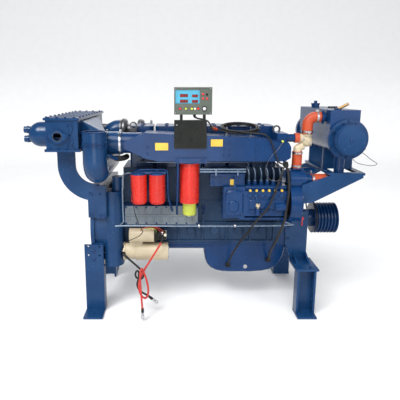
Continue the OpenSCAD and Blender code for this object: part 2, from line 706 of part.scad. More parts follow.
module intake_manifold() color("midnightblue") {
    difference() {
        union() {
            slab_y(-manifold_y, manifold_y + manifold_back) manifold_profile(0);
            rod_x([charge_x0 + charge_l - spigot_l, charge_c[0], charge_c[1]], spigot_r,
                manifold_x0 + 0.1 * manifold_l - charge_x0 - charge_l + spigot_l);
            for (i = [0:cyl_n - 1]) rod_y([cyl_x(i), manifold_back - case_wall, port_z], port_r + case_wall / 2,
                -head_w / 2 - manifold_back + case_wall);
        }
        slab_y(-manifold_y + manifold_wall, manifold_y + manifold_back - 2 * manifold_wall)
            manifold_profile(2 * manifold_wall);
        rod_x([charge_x0, charge_c[0], charge_c[1]], spigot_r - manifold_wall,
            manifold_x0 + 0.05 * manifold_l - charge_x0);
        for (i = [0:cyl_n - 1]) rod_y([cyl_x(i), manifold_back - case_wall * 2, port_z], port_r,
            head_w / 2);
    }
    // Joint flanges round the box
    for (x = [0.6, 0.63, 0.79]) slab_y(-manifold_y - manifold_wall / 2, manifold_wall)
        translate([manifold_x0 + x * manifold_l, manifold_z0 + 0.42 * manifold_h])
            square([manifold_wall, 0.78 * manifold_h], center = true);
    // Water outlet of the heads, carried on the manifold
    outlet_z = manifold_z0 + 0.6 * manifold_h;
    block([manifold_x0 + 0.92 * manifold_l, -manifold_y + 3 * manifold_wall, outlet_z],
        [manifold_x0 + 0.98 * manifold_l, manifold_back - 3 * manifold_wall, outlet_z + 0.37 * manifold_h]);
    rod_x([manifold_x0 + 0.95 * manifold_l, therm_c[1], therm_c[2] + therm_r / 2], outlet_r,
        case_x1 - case_t / 2.4 - gap - manifold_x0 - 0.95 * manifold_l);
}
outlet_r = 0.38 * hose_d;

// Exhaust manifold on the far side
exhaust_r = 0.4 * bore_d;
exhaust_y = head_w / 2 + 1.32 * exhaust_r;
exhaust_z = deck_z + head_h / 2;
module exhaust_manifold() color("midnightblue") {
    difference() {
        union() {
            rod_x([cyl_x(0) - cyl_pitch / 3, exhaust_y, exhaust_z], exhaust_r, cyl_pitch * (cyl_n - 1 / 3));
            for (i = [0:cyl_n - 1]) rod_y([cyl_x(i), head_w / 2, exhaust_z], port_r + case_wall / 2,
                exhaust_y - head_w / 2);
            rod_z([turbine_x, exhaust_y, exhaust_z], port_r + case_wall, exhaust_r * 1.3);
        }
        rod_x([cyl_x(0) - cyl_pitch / 3 + case_wall, exhaust_y, exhaust_z], exhaust_r - case_wall,
            cyl_pitch * (cyl_n - 1 / 3) - 2 * case_wall);
        for (i = [0:cyl_n - 1]) rod_y([cyl_x(i), head_w / 2 - over, exhaust_z], port_r,
            exhaust_y - head_w / 2);
        rod_z([turbine_x, exhaust_y, exhaust_z], port_r, exhaust_r * 1.3 + over);
    }
}

// Turbocharger over the exhaust manifold: two scrolls on a bearing housing
turbo_r = 0.58 * charge_d;
turbine_x = cyl_x(0) - cyl_pitch / 5;
compressor_x = turbine_x - 1.5 * turbo_r;
turbo_z = exhaust_z + exhaust_r * 1.3 + turbo_r;
wheel_r = 0.45 * turbo_r;
turbo_shaft_r = 7;
module scroll(x, r, l) translate([x, exhaust_y, turbo_z]) rotate([0, 90, 0]) {
    rotate_extrude() translate([r * 0.68, 0]) circle(l / 2);
    translate([0, 0, -l / 2]) cylinder(r = r * 0.7, h = l);
}
module turbo_housing() color("gray") {
    pipe_y = exhaust_y + 1.3 * turbo_r + port_r;
    difference() {
        union() {
            scroll(compressor_x, turbo_r, 0.62 * turbo_r);
            scroll(turbine_x, turbo_r * 0.94, 0.62 * turbo_r);
            rod_x([compressor_x, exhaust_y, turbo_z], wheel_r, turbine_x - compressor_x);
            rod_x([elbow_x + bend_r, exhaust_y, turbo_z], elbow_d / 2, compressor_x - elbow_x - bend_r);
            rod_x([turbine_x, exhaust_y, turbo_z], wheel_r * 1.3, turbo_r);
            rod_x([turbine_x + turbo_r - 2 * pan_wall, exhaust_y, turbo_z], wheel_r * 1.9, 2 * pan_wall);
            block([compressor_x - turbo_r * 0.28, exhaust_y, turbo_z - port_r],
                [compressor_x + turbo_r * 0.28, pipe_y + port_r, turbo_z + port_r]);
            rod_x([cooler_x1, pipe_y, turbo_z], port_r * 1.4, compressor_x + turbo_r * 0.28 - cooler_x1);
            rod_z([turbine_x, exhaust_y, turbo_z - turbo_r], port_r + case_wall, turbo_r / 2);
        }
        rod_x([elbow_x, exhaust_y, turbo_z], wheel_r + gap, compressor_x + turbo_r / 4 - elbow_x);
        rod_x([turbine_x - 0.2 * turbo_r, exhaust_y, turbo_z], wheel_r + gap, 1.2 * turbo_r + over);
        rod_x([compressor_x, exhaust_y, turbo_z], turbo_shaft_r + run_fit, turbine_x - compressor_x);
        rod_z([turbine_x, exhaust_y, turbo_z - turbo_r - over], port_r, turbo_r * 0.6);
        rod_x([cooler_x1 - over, pipe_y, turbo_z], port_r, compressor_x - cooler_x1);
    }
}
module turbo_rotor() color("silver") {
    rod_x([compressor_x - 0.3 * turbo_r, exhaust_y, turbo_z], turbo_shaft_r,
        turbine_x - compressor_x + 0.6 * turbo_r);
    for (x = [compressor_x - 0.2 * turbo_r, turbine_x - 0.1 * turbo_r]) translate([0, exhaust_y, turbo_z]) {
        translate([x, 0, 0]) rotate([0, 90, 0]) cylinder(r = wheel_r * 0.5, h = turbo_r * 0.3);
        for (k = [0:7]) rotate([45 * k, 0, 0])
            block([x + turbo_r * 0.05, -pan_wall / 4, wheel_r * 0.4], [x + turbo_r * 0.25, pan_wall / 4, wheel_r - gap]);
    }
}

// Intercooler across the flywheel end, with flanges, ribbed top and water flange
cooler_x1 = -0.16 * housing_l;
cooler_x0 = cooler_x1 - cooler_w;
cooler_y0 = -manifold_y - 0.1 * cooler_h;
cooler_z0 = head_top + 0.03 * cooler_h;
flange_c = [cooler_x0 + 0.37 * cooler_w, cooler_z0 + 0.46 * cooler_h];
inlet_r = 24;
inlet_bolts = 110;
inlet_bolt_r = 6;
dome_c = [cooler_y0 + 0.13 * cooler_d, cooler_z0 + 0.47 * cooler_h];
dome_r = 0.38 * cooler_h;
stub_r = 0.1 * cooler_h;
module intercooler() color("steelblue") {
    y1 = cooler_y0 + cooler_d;
    lip = [cooler_lip, cooler_lip, 0];
    difference() {
        union() {
            block([cooler_x0, cooler_y0, cooler_z0], [cooler_x1, y1, cooler_z0 + cooler_h]);
            for (z = [cooler_z0, cooler_z0 + cooler_h - cooler_flange_t])
                block([cooler_x0, cooler_y0, z] - lip, [cooler_x1, y1, z + cooler_flange_t] + lip);
            // Water inlet flange with two ears
            slab_y(cooler_y0 - 2 * cooler_lip, 2 * cooler_lip) translate([flange_c[0], flange_c[1]]) {
                circle(inlet_r * 1.6);
                for (s = [-1, 1]) translate([s * inlet_bolts / 2, 0]) circle(inlet_bolt_r * 1.7);
                polygon([[-inlet_bolts / 2, -inlet_bolt_r * 1.6], [0, -inlet_r * 1.55],
                    [inlet_bolts / 2, -inlet_bolt_r * 1.6], [inlet_bolts / 2, inlet_bolt_r * 1.6],
                    [0, inlet_r * 1.55], [-inlet_bolts / 2, inlet_bolt_r * 1.6]]);
            }
        }
        // Hollow for the core, closed by the ribbed top
        block([cooler_x0 + cooler_flange_t, cooler_y0 + cooler_flange_t, cooler_z0 + cooler_flange_t],
            [cooler_x1 - cooler_flange_t, y1 - cooler_flange_t, cooler_z0 + cooler_h - cooler_flange_t]);
        for (k = [0:11]) block(
            [cooler_x0 + cooler_flange_t, cooler_y0 + (k + 0.25) * cooler_d / 12,
                cooler_z0 + cooler_h - cooler_lip],
            [cooler_x1 - cooler_flange_t, cooler_y0 + (k + 0.8) * cooler_d / 12, cooler_z0 + cooler_h + over]);
        rod_y([flange_c[0], cooler_y0 - 2 * cooler_lip - over, flange_c[1]], inlet_r,
            2 * cooler_lip + cooler_flange_t + 2 * over);
        for (s = [-1, 1]) rod_y([flange_c[0] + s * inlet_bolts / 2, cooler_y0 - 2 * cooler_lip - over,
            flange_c[1]], inlet_bolt_r, 2 * cooler_lip + over);
    }
    // Core tubes inside
    for (k = [0:3]) block(
        [cooler_x0 + 2 * cooler_flange_t, cooler_y0 + cooler_flange_t,
            cooler_z0 + cooler_h * (0.2 + 0.16 * k)],
        [cooler_x1 - 2 * cooler_flange_t, y1 - cooler_flange_t, cooler_z0 + cooler_h * (0.26 + 0.16 * k)]);
    // Round end cover with its two water stubs
    translate([cooler_x0, dome_c[0], dome_c[1]]) rotate([0, -90, 0]) {
        cylinder(r = dome_r, h = dome_r * 0.75);
        translate([0, 0, dome_r * 0.75]) intersection() {
            sphere(r = dome_r);
            cylinder(r = dome_r, h = dome_r);
        }
        for (s = [-1, 1]) translate([s * dome_r * 0.37, 0, dome_r]) {
            cylinder(r = stub_r, h = dome_r * 1.1);
            translate([0, 0, dome_r * 0.75]) cylinder(r = stub_r * 1.12, h = dome_r * 0.12);
        }
    }
    // Outlet cone to the charge air hose
    difference() {
        union() {
            hull() {
                block([cooler_x1, cooler_y0 + 0.1 * cooler_d, cooler_z0 + 0.1 * cooler_h],
                    [cooler_x1 + over, cooler_y0 + 0.76 * cooler_d, cooler_z0 + 0.9 * cooler_h]);
                translate([charge_x0 - over, charge_c[0], charge_c[1]]) rotate([0, 90, 0])
                    cylinder(r = charge_d / 2, h = over, $fn = 32);
            }
            rod_x([charge_x0 - over, charge_c[0], charge_c[1]], spigot_r, spigot_l + over);
        }
        rod_x([charge_x0 - spigot_l, charge_c[0], charge_c[1]], spigot_r - manifold_wall,
            2 * spigot_l + over);
    }
}

// Charge air hose between the cone and the manifold
module charge_hose() color("royalblue") {
    bush_x([charge_x0 + gap, charge_c[0], charge_c[1]], charge_d / 2, charge_d / 2 - charge_wall, charge_l - gap);
}

// Air pipe from its open mouth round to the compressor
elbow_x = 0.33 * housing_l;
elbow_y = cooler_y0 - 0.03 * cooler_d;
elbow_top = cooler_z0 + 0.61 * cooler_h;
bend_r = elbow_d * 0.52;
elbow_run_z = turbo_z - 2.8 * bend_r;
module bend(c, turn, r, big = bend_r) translate(c) rotate(turn) rotate_extrude(angle = 90) translate([big, 0]) circle(r);
module air_path(r, ends) {
    rod_z([elbow_x, elbow_y, elbow_run_z + bend_r], r, elbow_top + ends - elbow_run_z - bend_r);
    bend([elbow_x, elbow_y + bend_r, elbow_run_z + bend_r], [0, 90, 180], r);
    rod_y([elbow_x, elbow_y + bend_r, elbow_run_z], r, exhaust_y - elbow_y - 2 * bend_r);
    bend([elbow_x, exhaust_y - bend_r, elbow_run_z + bend_r], [0, 90, 0], r);
    rod_z([elbow_x, exhaust_y, elbow_run_z + bend_r], r, turbo_z - elbow_run_z - 2 * bend_r);
    bend([elbow_x + bend_r, exhaust_y, turbo_z - bend_r], [90, 0, 180], r);
}
module air_elbow() color("steelblue") {
    difference() {
        union() {
            air_path(elbow_d / 2, 0);
            for (k = [0.74, 0.67]) rod_z([elbow_x, elbow_y, elbow_run_z + (elbow_top - elbow_run_z) * k],
                elbow_d / 2 + charge_wall / 2, charge_wall);
        }
        air_path(elbow_d / 2 - charge_wall, over);
    }
}

// Curved arm under the intercooler and the plates that bolt it to the housing
arm_t = 12;
module cooler_bracket() color("steelblue") {
    arm_r = cooler_w * 0.9;
    arm_w = cooler_w * 0.57;
    plate_w = drum_l;
    plate_z0 = 0.15 * face_d;
    plate_z1 = 0.46 * face_d;
    y = -leg_y + leg_t - arm_t;
    c = [cooler_x0 + 0.2 * cooler_w + arm_r + arm_w / 2, plate_z1 + arm_r * 0.9];
    difference() {
        slab_y(y, arm_t) {
            difference() {
                translate(c) difference() {
                    circle(arm_r + arm_w / 2);
                    circle(arm_r - arm_w / 2);
                }
                translate(c - [2 * arm_r, 0]) square([4 * arm_r, 2 * arm_r]);
                translate([plate_w * 0.55, 0]) square([4 * arm_r, 4 * arm_r]);
            }
            translate([c[0] - arm_r - arm_w / 2, c[1] - over]) square([arm_w, cooler_z0 - c[1] + over]);
            translate([-plate_w * 0.07, plate_z0]) square([plate_w * 0.98, plate_z1 - plate_z0]);
        }
        for (x = [0.06, 0.74], z = [0.1, 0.88]) rod_y(
            [x * plate_w, y - over, plate_z0 + z * (plate_z1 - plate_z0)], arm_t / 2, arm_t + 2 * over);
    }
    // Second plate with its folded rib
    block([plate_w * 0.4, y - arm_t, plate_z0], [plate_w * 0.88, y, plate_z1 + elbow_d * 0.2]);
    block([c[0] - arm_r - arm_w / 2, y - arm_t, cooler_z0 - arm_t],
        [c[0] - arm_r + arm_w / 2, y + 3 * arm_t, cooler_z0]);
}

// Heat exchanger: shell across the engine under a header tank
shell_x = leg_x[1] + 1.42 * leg_w;
shell_z = cover_top - 0.2 * tank_w - foot_hole_d;
tank_x = shell_x - 0.11 * tank_w;
tank_y0 = -manifold_y - 0.23 * tank_w;
tank_top = shell_z + tank_h;
filler_c = [tank_x - 0.2 * tank_w, tank_y0 + 0.73 * tank_l];
filler_r = 21;
filler_h = 26;
cap_l = 0.09 * shell_l;
shell_y0 = tank_y0 - cap_l / 2 - gap;
pipe_r = 0.42 * hose_d;
pipe_bend = 44;
hose_end_x = case_x1 + 2 * leg_w - case_t - leg_t * 2;
module exchanger() color("royalblue") {
    difference() {
        union() {
            rod_y([shell_x, shell_y0 + cap_l / 2, shell_z], shell_d / 2, shell_l - 1.25 * cap_l);
            for (y = [shell_y0 + cap_l / 2, shell_y0 + shell_l - cap_l]) rod_y([shell_x, y, shell_z],
                cap_flange_d / 2, cap_l / 4);
            block([tank_x - tank_w / 2, tank_y0, shell_z + shell_d * 0.1],
                [tank_x + tank_w / 2, tank_y0 + tank_l, tank_top]);
            rod_z([filler_c[0], filler_c[1], tank_top - over], filler_r, filler_h / 2 + over);
            // Flange that takes the top hose
            rod_x([tank_x - tank_w / 2 - pipe_r, therm_c[1], top_hose_z], hose_d * 0.66, leg_t);
            rod_x([tank_x - tank_w / 2 - 1.4 * pipe_r, therm_c[1], top_hose_z], hose_d / 2 - hose_wall - gap,
                2 * pipe_r);
            // Pipe from the pump hose up into the shell
            rod_x([hose_end_x, water_c[0], water_c[1]], water_hose_r - hose_wall - gap,
                shell_x - pipe_bend - hose_end_x);
            bend([shell_x - pipe_bend, water_c[0], water_c[1] + pipe_bend], [90, 90, 0],
                water_hose_r - hose_wall - gap, pipe_bend);
            rod_z([shell_x, water_c[0], water_c[1] + pipe_bend], water_hose_r - hose_wall - gap,
                shell_z - water_c[1] - pipe_bend);
            // Vent pipe with its oval base
            rod_z([tank_x - 0.12 * tank_w, tank_y0 + 0.13 * tank_l, tank_top - over], vent_r * 2.6, over + vent_r);
            translate([tank_x - 0.12 * tank_w, tank_y0 + 0.13 * tank_l, tank_top]) rotate([0, 62, 0])
                cylinder(r = vent_r, h = vent_r * 9);
        }
        rod_y([shell_x, shell_y0, shell_z], shell_d / 2 - 2 * pan_wall, shell_l + over);
        block([tank_x - tank_w / 2 + pan_wall, tank_y0 + pan_wall, shell_z],
            [tank_x + tank_w / 2 - pan_wall, tank_y0 + tank_l - pan_wall, tank_top - pan_wall]);
        rod_z([filler_c[0], filler_c[1], tank_top - shell_d / 8], filler_r - hose_wall, shell_d / 2);
        translate([tank_x - 0.12 * tank_w, tank_y0 + 0.13 * tank_l, tank_top]) rotate([0, 62, 0])
            translate([0, 0, vent_r * 3]) cylinder(r = vent_r * 0.7, h = vent_r * 9);
        rod_x([hose_end_x - over, water_c[0], water_c[1]], water_hose_r - 2 * hose_wall, pipe_bend);
        rod_x([tank_x - tank_w / 2 - 2 * pipe_r, therm_c[1], top_hose_z], hose_d / 2 - 2 * hose_wall, 4 * pipe_r);
    }
    // Tube bundle
    for (k = [0:5]) rod_y([shell_x + shell_d / 5 * cos(60 * k), shell_y0 + cap_l / 2, shell_z + shell_d / 5 * sin(60 * k)],
        vent_r, shell_l - 1.25 * cap_l);
}
vent_r = 7.5;
module exchanger_caps() color("royalblue") {
    for (side = [0, 1]) translate([shell_x, shell_y0 + (side == 0 ? cap_l / 2 : shell_l - 0.75 * cap_l), shell_z])
        rotate([side == 0 ? 90 : -90, 0, 0]) {
            cylinder(r = cap_flange_d / 2, h = cap_l / 4);
            cylinder(r = cap_d / 2, h = cap_l * 0.9);
            cylinder(r = cap_d / 2 - cap_l / 8, h = cap_l);
            for (k = [0:5]) rotate(30 + 60 * k) translate([cap_flange_d / 2 - leg_t * 0.8, 0, 0])
                cylinder(r = leg_t * 0.7, h = cap_l * 0.4, $fn = 6);
        }
}
module filler_cap() color("midnightblue") {
    bush_z([filler_c[0], filler_c[1], tank_top + gap], filler_r * 1.15, filler_r + gap, filler_h * 0.6);
    rod_z([filler_c[0], filler_c[1], tank_top + filler_h * 0.6], filler_r * 1.3, filler_h * 0.4);
    rod_z([filler_c[0], filler_c[1], tank_top + filler_h * 0.6], filler_r * 0.5, filler_h);
}

// Shelf frame on two struts, with the cradles of the exchanger
shelf_z = shell_z - shell_d / 2 - 0.55 * cap_flange_d + 2 * leg_t;
shelf_x0 = tank_x - 0.5 * tank_w + 2 * case_wall;
shelf_x1 = shell_x + 0.78 * tank_w;
shelf_t = 14;
shelf_y1 = tank_y0 + tank_l - 6 * shelf_t;
module shelf_bracket() color("steelblue") {
    y0 = -manifold_y - shelf_t;
    y1 = shelf_y1;
    x0 = case_x1 + gap;
    rail_w = 0.22 * tank_w;
    for (x = [shelf_x0, shelf_x1 - rail_w]) block([x, y0, shelf_z - shelf_t], [x + rail_w, y1, shelf_z]);
    for (y = [y0, y1 - 2 * shelf_t]) block([shelf_x0, y, shelf_z - shelf_t],
        [shelf_x1, y + 2 * shelf_t, shelf_z]);
    for (y = [y0, y1 - shelf_t]) slab_y(y, shelf_t) polygon([
        [x0, shelf_z - 0.43 * tank_w], [shelf_x0 + rail_w, shelf_z - shelf_t / 2],
        [shelf_x1 - rail_w / 4, shelf_z - shelf_t / 2], [shelf_x1 - rail_w / 4, shelf_z - 2 * shelf_t],
        [x0 + case_t, shelf_z - 1.05 * tank_w], [x0, shelf_z - 1.1 * tank_w]
    ]);
    // Cross plate bolted to the timing case
    block([x0, y0, pump_c[1] - 0.2 * tank_w], [x0 + shelf_t, y1, pump_c[1] + 0.22 * tank_w]);
    for (y = [tank_y0 + 0.3 * tank_l, tank_y0 + 0.75 * tank_l]) difference() {
        block([shelf_x0 + rail_w / 4, y, shelf_z - over], [shelf_x1 - rail_w / 2, y + shelf_t, shell_z - shell_d * 0.28]);
        rod_y([shell_x, y - over, shell_z], shell_d / 2 + gap, shelf_t + 2 * over);
    }
}

// Thermostat housing in cast metal with three arms
therm_r = 34;
therm_c = [case_x1 + case_t * 0.42, -manifold_y + 1.4 * therm_r, manifold_z0 + 0.69 * manifold_h];
top_hose_z = tank_top - 0.26 * tank_w;
top_bend = 46;
top_x = tank_x - tank_w / 2 - 1.4 * pipe_r;
low_x = case_x1 - case_t / 3;
low_z = manifold_z0 + 0.32 * manifold_h;
module thermostat_housing() color("wheat") {
    translate(therm_c) difference() {
        union() {
            sphere(r = therm_r);
            cylinder(r = hose_d / 2 - hose_wall - gap, h = therm_r * 2.1);
            rotate([0, 0, 0]) translate([0, 0, therm_r * 0.9]) cylinder(r = hose_d / 2, h = hose_wall);
            translate([0, 0, therm_r / 2]) rotate([0, -90, 0])
                cylinder(r = outlet_r, h = therm_c[0] - case_x1 + case_t / 2.4);
            rotate([0, 45, 0]) translate([0, 0, -hose_wall / 2]) cylinder(r = therm_r * 1.12, h = hose_wall);
            translate([low_x - therm_c[0], 0, low_z - therm_c[2]]) cylinder(r = outlet_r, h = therm_r * 0.5);
            translate([low_x - therm_c[0], 0, low_z - therm_c[2] + therm_r * 0.5]) sphere(r = outlet_r);
            translate([low_x - therm_c[0], 0, low_z - therm_c[2] + therm_r * 0.5])
                rotate([0, 60, 0]) cylinder(r = outlet_r, h = therm_r);
        }
        cylinder(r = hose_d / 2 - 2 * hose_wall, h = therm_r * 2.1 + over);
    }
}

// Coolant hoses: top bend, short joint, low hose and pump hose
water_hose_r = 0.56 * hose_d;
low_r = outlet_r + hose_wall;
pump_top_z = water_c[1] + gear_r(water_teeth) + gear_m + gear_room + case_wall;
module hose_x(x0, x1, y, z, r) bush_x([x0, y, z], r, r - hose_wall, x1 - x0);
module top_hose_path(r, ends) {
    foot = therm_c[2] + therm_r * 1.25;
    rod_z([therm_c[0], therm_c[1], foot - ends], r, top_hose_z - top_bend - foot + ends);
    bend([therm_c[0] + top_bend, therm_c[1], top_hose_z - top_bend], [90, 0, 180], r, top_bend);
    rod_x([therm_c[0] + top_bend, therm_c[1], top_hose_z], r, top_x + pipe_r * 0.3 + ends - therm_c[0] - top_bend);
}
module coolant_hoses() color("orangered") {
    difference() {
        top_hose_path(hose_d / 2, 0);
        top_hose_path(hose_d / 2 - hose_wall, over);
    }
    hose_x(therm_c[0] - therm_r * 2.1, therm_c[0] - therm_r * 1.3, therm_c[1], therm_c[2] + therm_r / 2,
        outlet_r + hose_wall + gap);
    bush_z([low_x, therm_c[1], pump_top_z + leg_t], low_r + gap, outlet_r + gap,
        low_z - pump_top_z - leg_t);
    hose_x(hose_end_x - pipe_r * 2.8, hose_end_x + pipe_r, water_c[0], water_c[1], water_hose_r);
}
band_t = 1.6;
band_w = 11;
module band_x(x, y, z, r, under = 0) translate([x, y, z]) {
    bush_x([-band_w / 2, 0, 0], r + gap + band_t, r + gap, band_w);
    mirror([0, 0, under]) block([-band_w / 2, -band_w, r + gap + band_t / 2], [band_w / 2, band_w, r + band_w]);
}
module band_z(x, y, z, r) {
    bush_z([x, y, z - band_w / 2], r + gap + band_t, r + gap, band_w);
    block([x - band_w, y - r - band_w, z - band_w / 2], [x + band_w, y - r - gap - band_t / 2, z + band_w / 2]);
}
module hose_clamps() color("silver") {
    for (x = [0.12, 0.88]) band_x(charge_x0 + x * charge_l, charge_c[0], charge_c[1], charge_d / 2);
    band_x(top_x - band_w, therm_c[1], top_hose_z, hose_d / 2);
    band_z(therm_c[0], therm_c[1], therm_c[2] + therm_r * 1.6, hose_d / 2);
    band_z(low_x, therm_c[1], pump_top_z + leg_t * 2, low_r + gap);
    band_z(low_x, therm_c[1], low_z - therm_r / 4, low_r + gap);
    for (x = [-2.5, 0.6]) band_x(hose_end_x + x * pipe_r, water_c[0], water_c[1], water_hose_r, 1);
}

// Coolant pump on the timing case, with the rotor that its gear turns
volute_r = 50;
volute_l = 28;
module coolant_pump() color("midnightblue") {
    x0 = case_x1 + gap;
    difference() {
        union() {
            rod_x([x0, water_c[0], water_c[1]], volute_r, volute_l);
            rod_x([x0 + volute_l - over, water_c[0], water_c[1]], water_hose_r - hose_wall - gap,
                hose_end_x - pipe_r * 1.8 - x0 - volute_l);
            block([low_x - volute_r / 2, water_c[0] - volute_r / 2, pump_top_z + gap],
                [x0 + volute_l / 2, water_c[0] + volute_r / 2, pump_top_z + leg_t]);
            block([x0, water_c[0] - volute_r / 2, water_c[1]],
                [x0 + volute_l / 2, water_c[0] + volute_r / 2, pump_top_z + leg_t]);
            rod_z([low_x, therm_c[1], pump_top_z + leg_t - over], outlet_r, therm_r);
            // Sea water casing behind
            rod_x([x0, water_c[0] + 2 * volute_r, water_c[1] + volute_r / 4], volute_r * 0.8, volute_l * 4);
            block([x0, water_c[0], water_c[1] - volute_r / 3],
                [x0 + volute_l / 2, water_c[0] + 2 * volute_r, water_c[1] + volute_r / 2]);
        }
        rod_x([x0 - over, water_c[0], water_c[1]], water_shaft_r + run_fit, over + volute_l / 4);
        rod_x([x0 + volute_l * 0.2, water_c[0], water_c[1]], volute_r * 0.8, volute_l * 0.6);
        rod_x([x0 + volute_l * 0.7, water_c[0], water_c[1]], water_hose_r - 2 * hose_wall,
            hose_end_x);
    }
}
module coolant_rotor() color("silver") {
    x0 = case_x1 + gap + volute_l * 0.3;
    gear(gear_x, water_c, water_teeth, gear_m, water_phase, gear_w, water_shaft_r + run_fit);
    rod_x([gear_x - over, water_c[0], water_c[1]], water_shaft_r, x0 + volute_l * 0.35 - gear_x);
    for (k = [0:5]) translate([0, water_c[0], water_c[1]]) rotate([60 * k + 30, 0, 0])
        block([x0, -pan_wall / 4, 0], [x0 + volute_l * 0.35, pan_wall / 4, volute_r * 0.75]);
}

// Filters hung from heads that reach out from the block
filter_y = -skirt_w / 2 - 1.5 * oil_filter_d;
filter_top = deck_z - 1.25 * case_wall;
oil_filter_x = [block_x0 + 1.15 * oil_filter_d, block_x0 + 2.3 * oil_filter_d];
fuel_c = [block_x0 + 3.6 * fuel_filter_d, filter_y + case_wall];
fuel_top = filter_top + 0.6 * fuel_filter_d;
module oil_filters() color("firebrick") for (x = oil_filter_x) {
    rod_z([x, filter_y, filter_top - 0.94 * oil_filter_h], oil_filter_d / 2, 0.94 * oil_filter_h);
    rod_z([x, filter_y, filter_top - oil_filter_h], oil_filter_d * 0.44, oil_filter_h / 2);
}
module fuel_filter() color("firebrick") {
    rod_z([fuel_c[0], fuel_c[1], fuel_top - fuel_filter_h], fuel_filter_d / 2, fuel_filter_h);
    rod_z([fuel_c[0], fuel_c[1], fuel_top - fuel_filter_h * 1.3], fuel_filter_d * 0.34, fuel_filter_h * 0.35);
    rod_z([fuel_c[0], fuel_c[1], fuel_top - fuel_filter_h * 1.36], fuel_filter_d * 0.07, fuel_filter_h * 0.1);
}
module filter_heads() color("royalblue") {
    x0 = oil_filter_x[0] - oil_filter_d / 2;
    for (x = oil_filter_x) rod_z([x, filter_y, filter_top], oil_filter_d / 2, case_wall);
    block([x0 + oil_filter_d / 4, filter_y - oil_filter_d / 4, filter_top + case_wall / 2],
        [x0 + 2.2 * oil_filter_d, -deck_w / 2 - gap, filter_top + 1.6 * case_wall]);
    // Oil cooler cover on the block side
    block([block_x0 + case_wall, -skirt_w / 2 - 0.9 * oil_filter_d, skirt_h / 5],
        [fuel_c[0] + fuel_filter_d / 2, -skirt_w / 2 - gap, skirt_h * 1.2]);
    rod_z([fuel_c[0], fuel_c[1], fuel_top], fuel_filter_d * 0.47, case_wall);
    block([fuel_c[0] - fuel_filter_d * 0.78, -manifold_y - case_wall, fuel_top + case_wall / 2],
        [fuel_c[0] + fuel_filter_d * 0.86, -manifold_y - gap, fuel_top + 3 * case_wall]);
    block([fuel_c[0] - fuel_filter_d / 2, -manifold_y - case_wall, fuel_top + case_wall / 2],
        [fuel_c[0] + fuel_filter_d / 2, fuel_c[1], manifold_z0 - gap]);
}

// Injection pump with its governor, delivery valves and hand primer
pump_x1 = block_x1 - case_wall;
pump_x0 = pump_x1 - pump_l;
pump_z0 = pump_c[1] - 0.59 * pump_d;
pump_z1 = pump_c[1] + 0.81 * pump_d;
pump_shaft_r = 14;
valve_pitch = 0.148 * pump_l;
function outlet_x(i) = pump_x0 + 0.12 * pump_l + valve_pitch * i;
module injection_pump() color("lightslategray") {
    y0 = pump_c[0] - pump_d / 2;
    y1 = pump_c[0] + pump_d / 2;
    difference() {
        union() {
            block([pump_x0, y0, pump_z0], [pump_x1, y1, pump_z1 - pump_d / 5]);
            block([pump_x0, y0 + pump_d / 4, pump_z0], [pump_x1, y1 - pump_d / 6, pump_z1]);
            block([pump_x0 - governor_l, y0, pump_z0 - pump_d / 12], [pump_x0, y1, pump_z1]);
            rod_x([pump_x1 - over, pump_c[0], pump_c[1]], 2 * pump_shaft_r, case_wall - gap + over);
        }
        rod_x([pump_x0 - governor_l / 2, pump_c[0], pump_c[1]], pump_shaft_r + run_fit, block_l);
    }
    for (i = [0:cyl_n - 1]) {
        rod_z([outlet_x(i), pump_c[0], pump_z1 - over], pump_d / 10, pump_d / 5 + over - gap);
        rod_y([outlet_x(i), y0 - pump_d / 12, pump_z1 - pump_d * 0.35], pump_d / 14, pump_d / 6);
    }
    // Base on the block and the bracket over the governor
    block([pump_x0 - governor_l / 4, y0, pump_z0 - pump_d / 6],
        [pump_x1, -skirt_w / 2 - gap, pump_z0 - pump_d / 12]);
    block([pump_x0 + pump_d / 4, y0 + pump_d / 4, pump_z0 - pump_d / 6],
        [pump_x1 - pump_d / 4, y1, pump_z0 + over]);
    block([pump_x0 - 1.6 * governor_l, y0 + pump_d / 4, pump_z1 - over],
        [pump_x0, y0 + pump_d * 0.7, pump_z1 + pump_d * 0.56]);
    bush_z([primer_c[0], primer_c[1], primer_c[2] - primer_l * 0.8], primer_r, primer_r * 0.4, primer_l * 0.8);
    block([primer_c[0] - primer_r, primer_c[1] + primer_r * 0.8, primer_c[2] - primer_l * 0.8],
        [primer_c[0] + primer_r, y0 + over, primer_c[2] - primer_l * 0.3]);
}
primer_r = 13;
primer_l = 50;
primer_c = [pump_x0 + 0.3 * pump_l, pump_c[0] - pump_d / 2 - primer_r, pump_z0 + primer_l];
primer_travel = 10;
module primer() color("wheat") {
    rod_z(primer_c - [0, 0, primer_l / 2], primer_r * 0.4 - run_fit, primer_l / 2 + primer_travel + 3 * gap);
    rod_z(primer_c + [0, 0, primer_travel + 2 * gap], primer_r * 0.9, primer_l / 3);
}
module pump_shaft() color("dimgray") {
    gear(gear_x, pump_c, cam_teeth, gear_m, pump_phase, gear_w, pump_shaft_r + run_fit);
    rod_x([pump_x0 - governor_l / 3, pump_c[0], pump_c[1]], pump_shaft_r,
        gear_x + gear_w - pump_x0 + governor_l / 3);
}
lever_l = 0.7 * governor_l;
module throttle_lever() color("silver") {
    y = pump_c[0] - pump_d / 2 - case_wall;
    c = [pump_x0 - governor_l / 2, y, pump_z1 - pump_d / 3];
    rod_y(c, case_wall, case_wall - gap);
    block(c - [case_wall / 2, 0, 0], c + [case_wall / 2, case_wall / 3, lever_l]);
    rod_y(c + [0, -case_wall / 2, lever_l], case_wall / 2, case_wall);
}

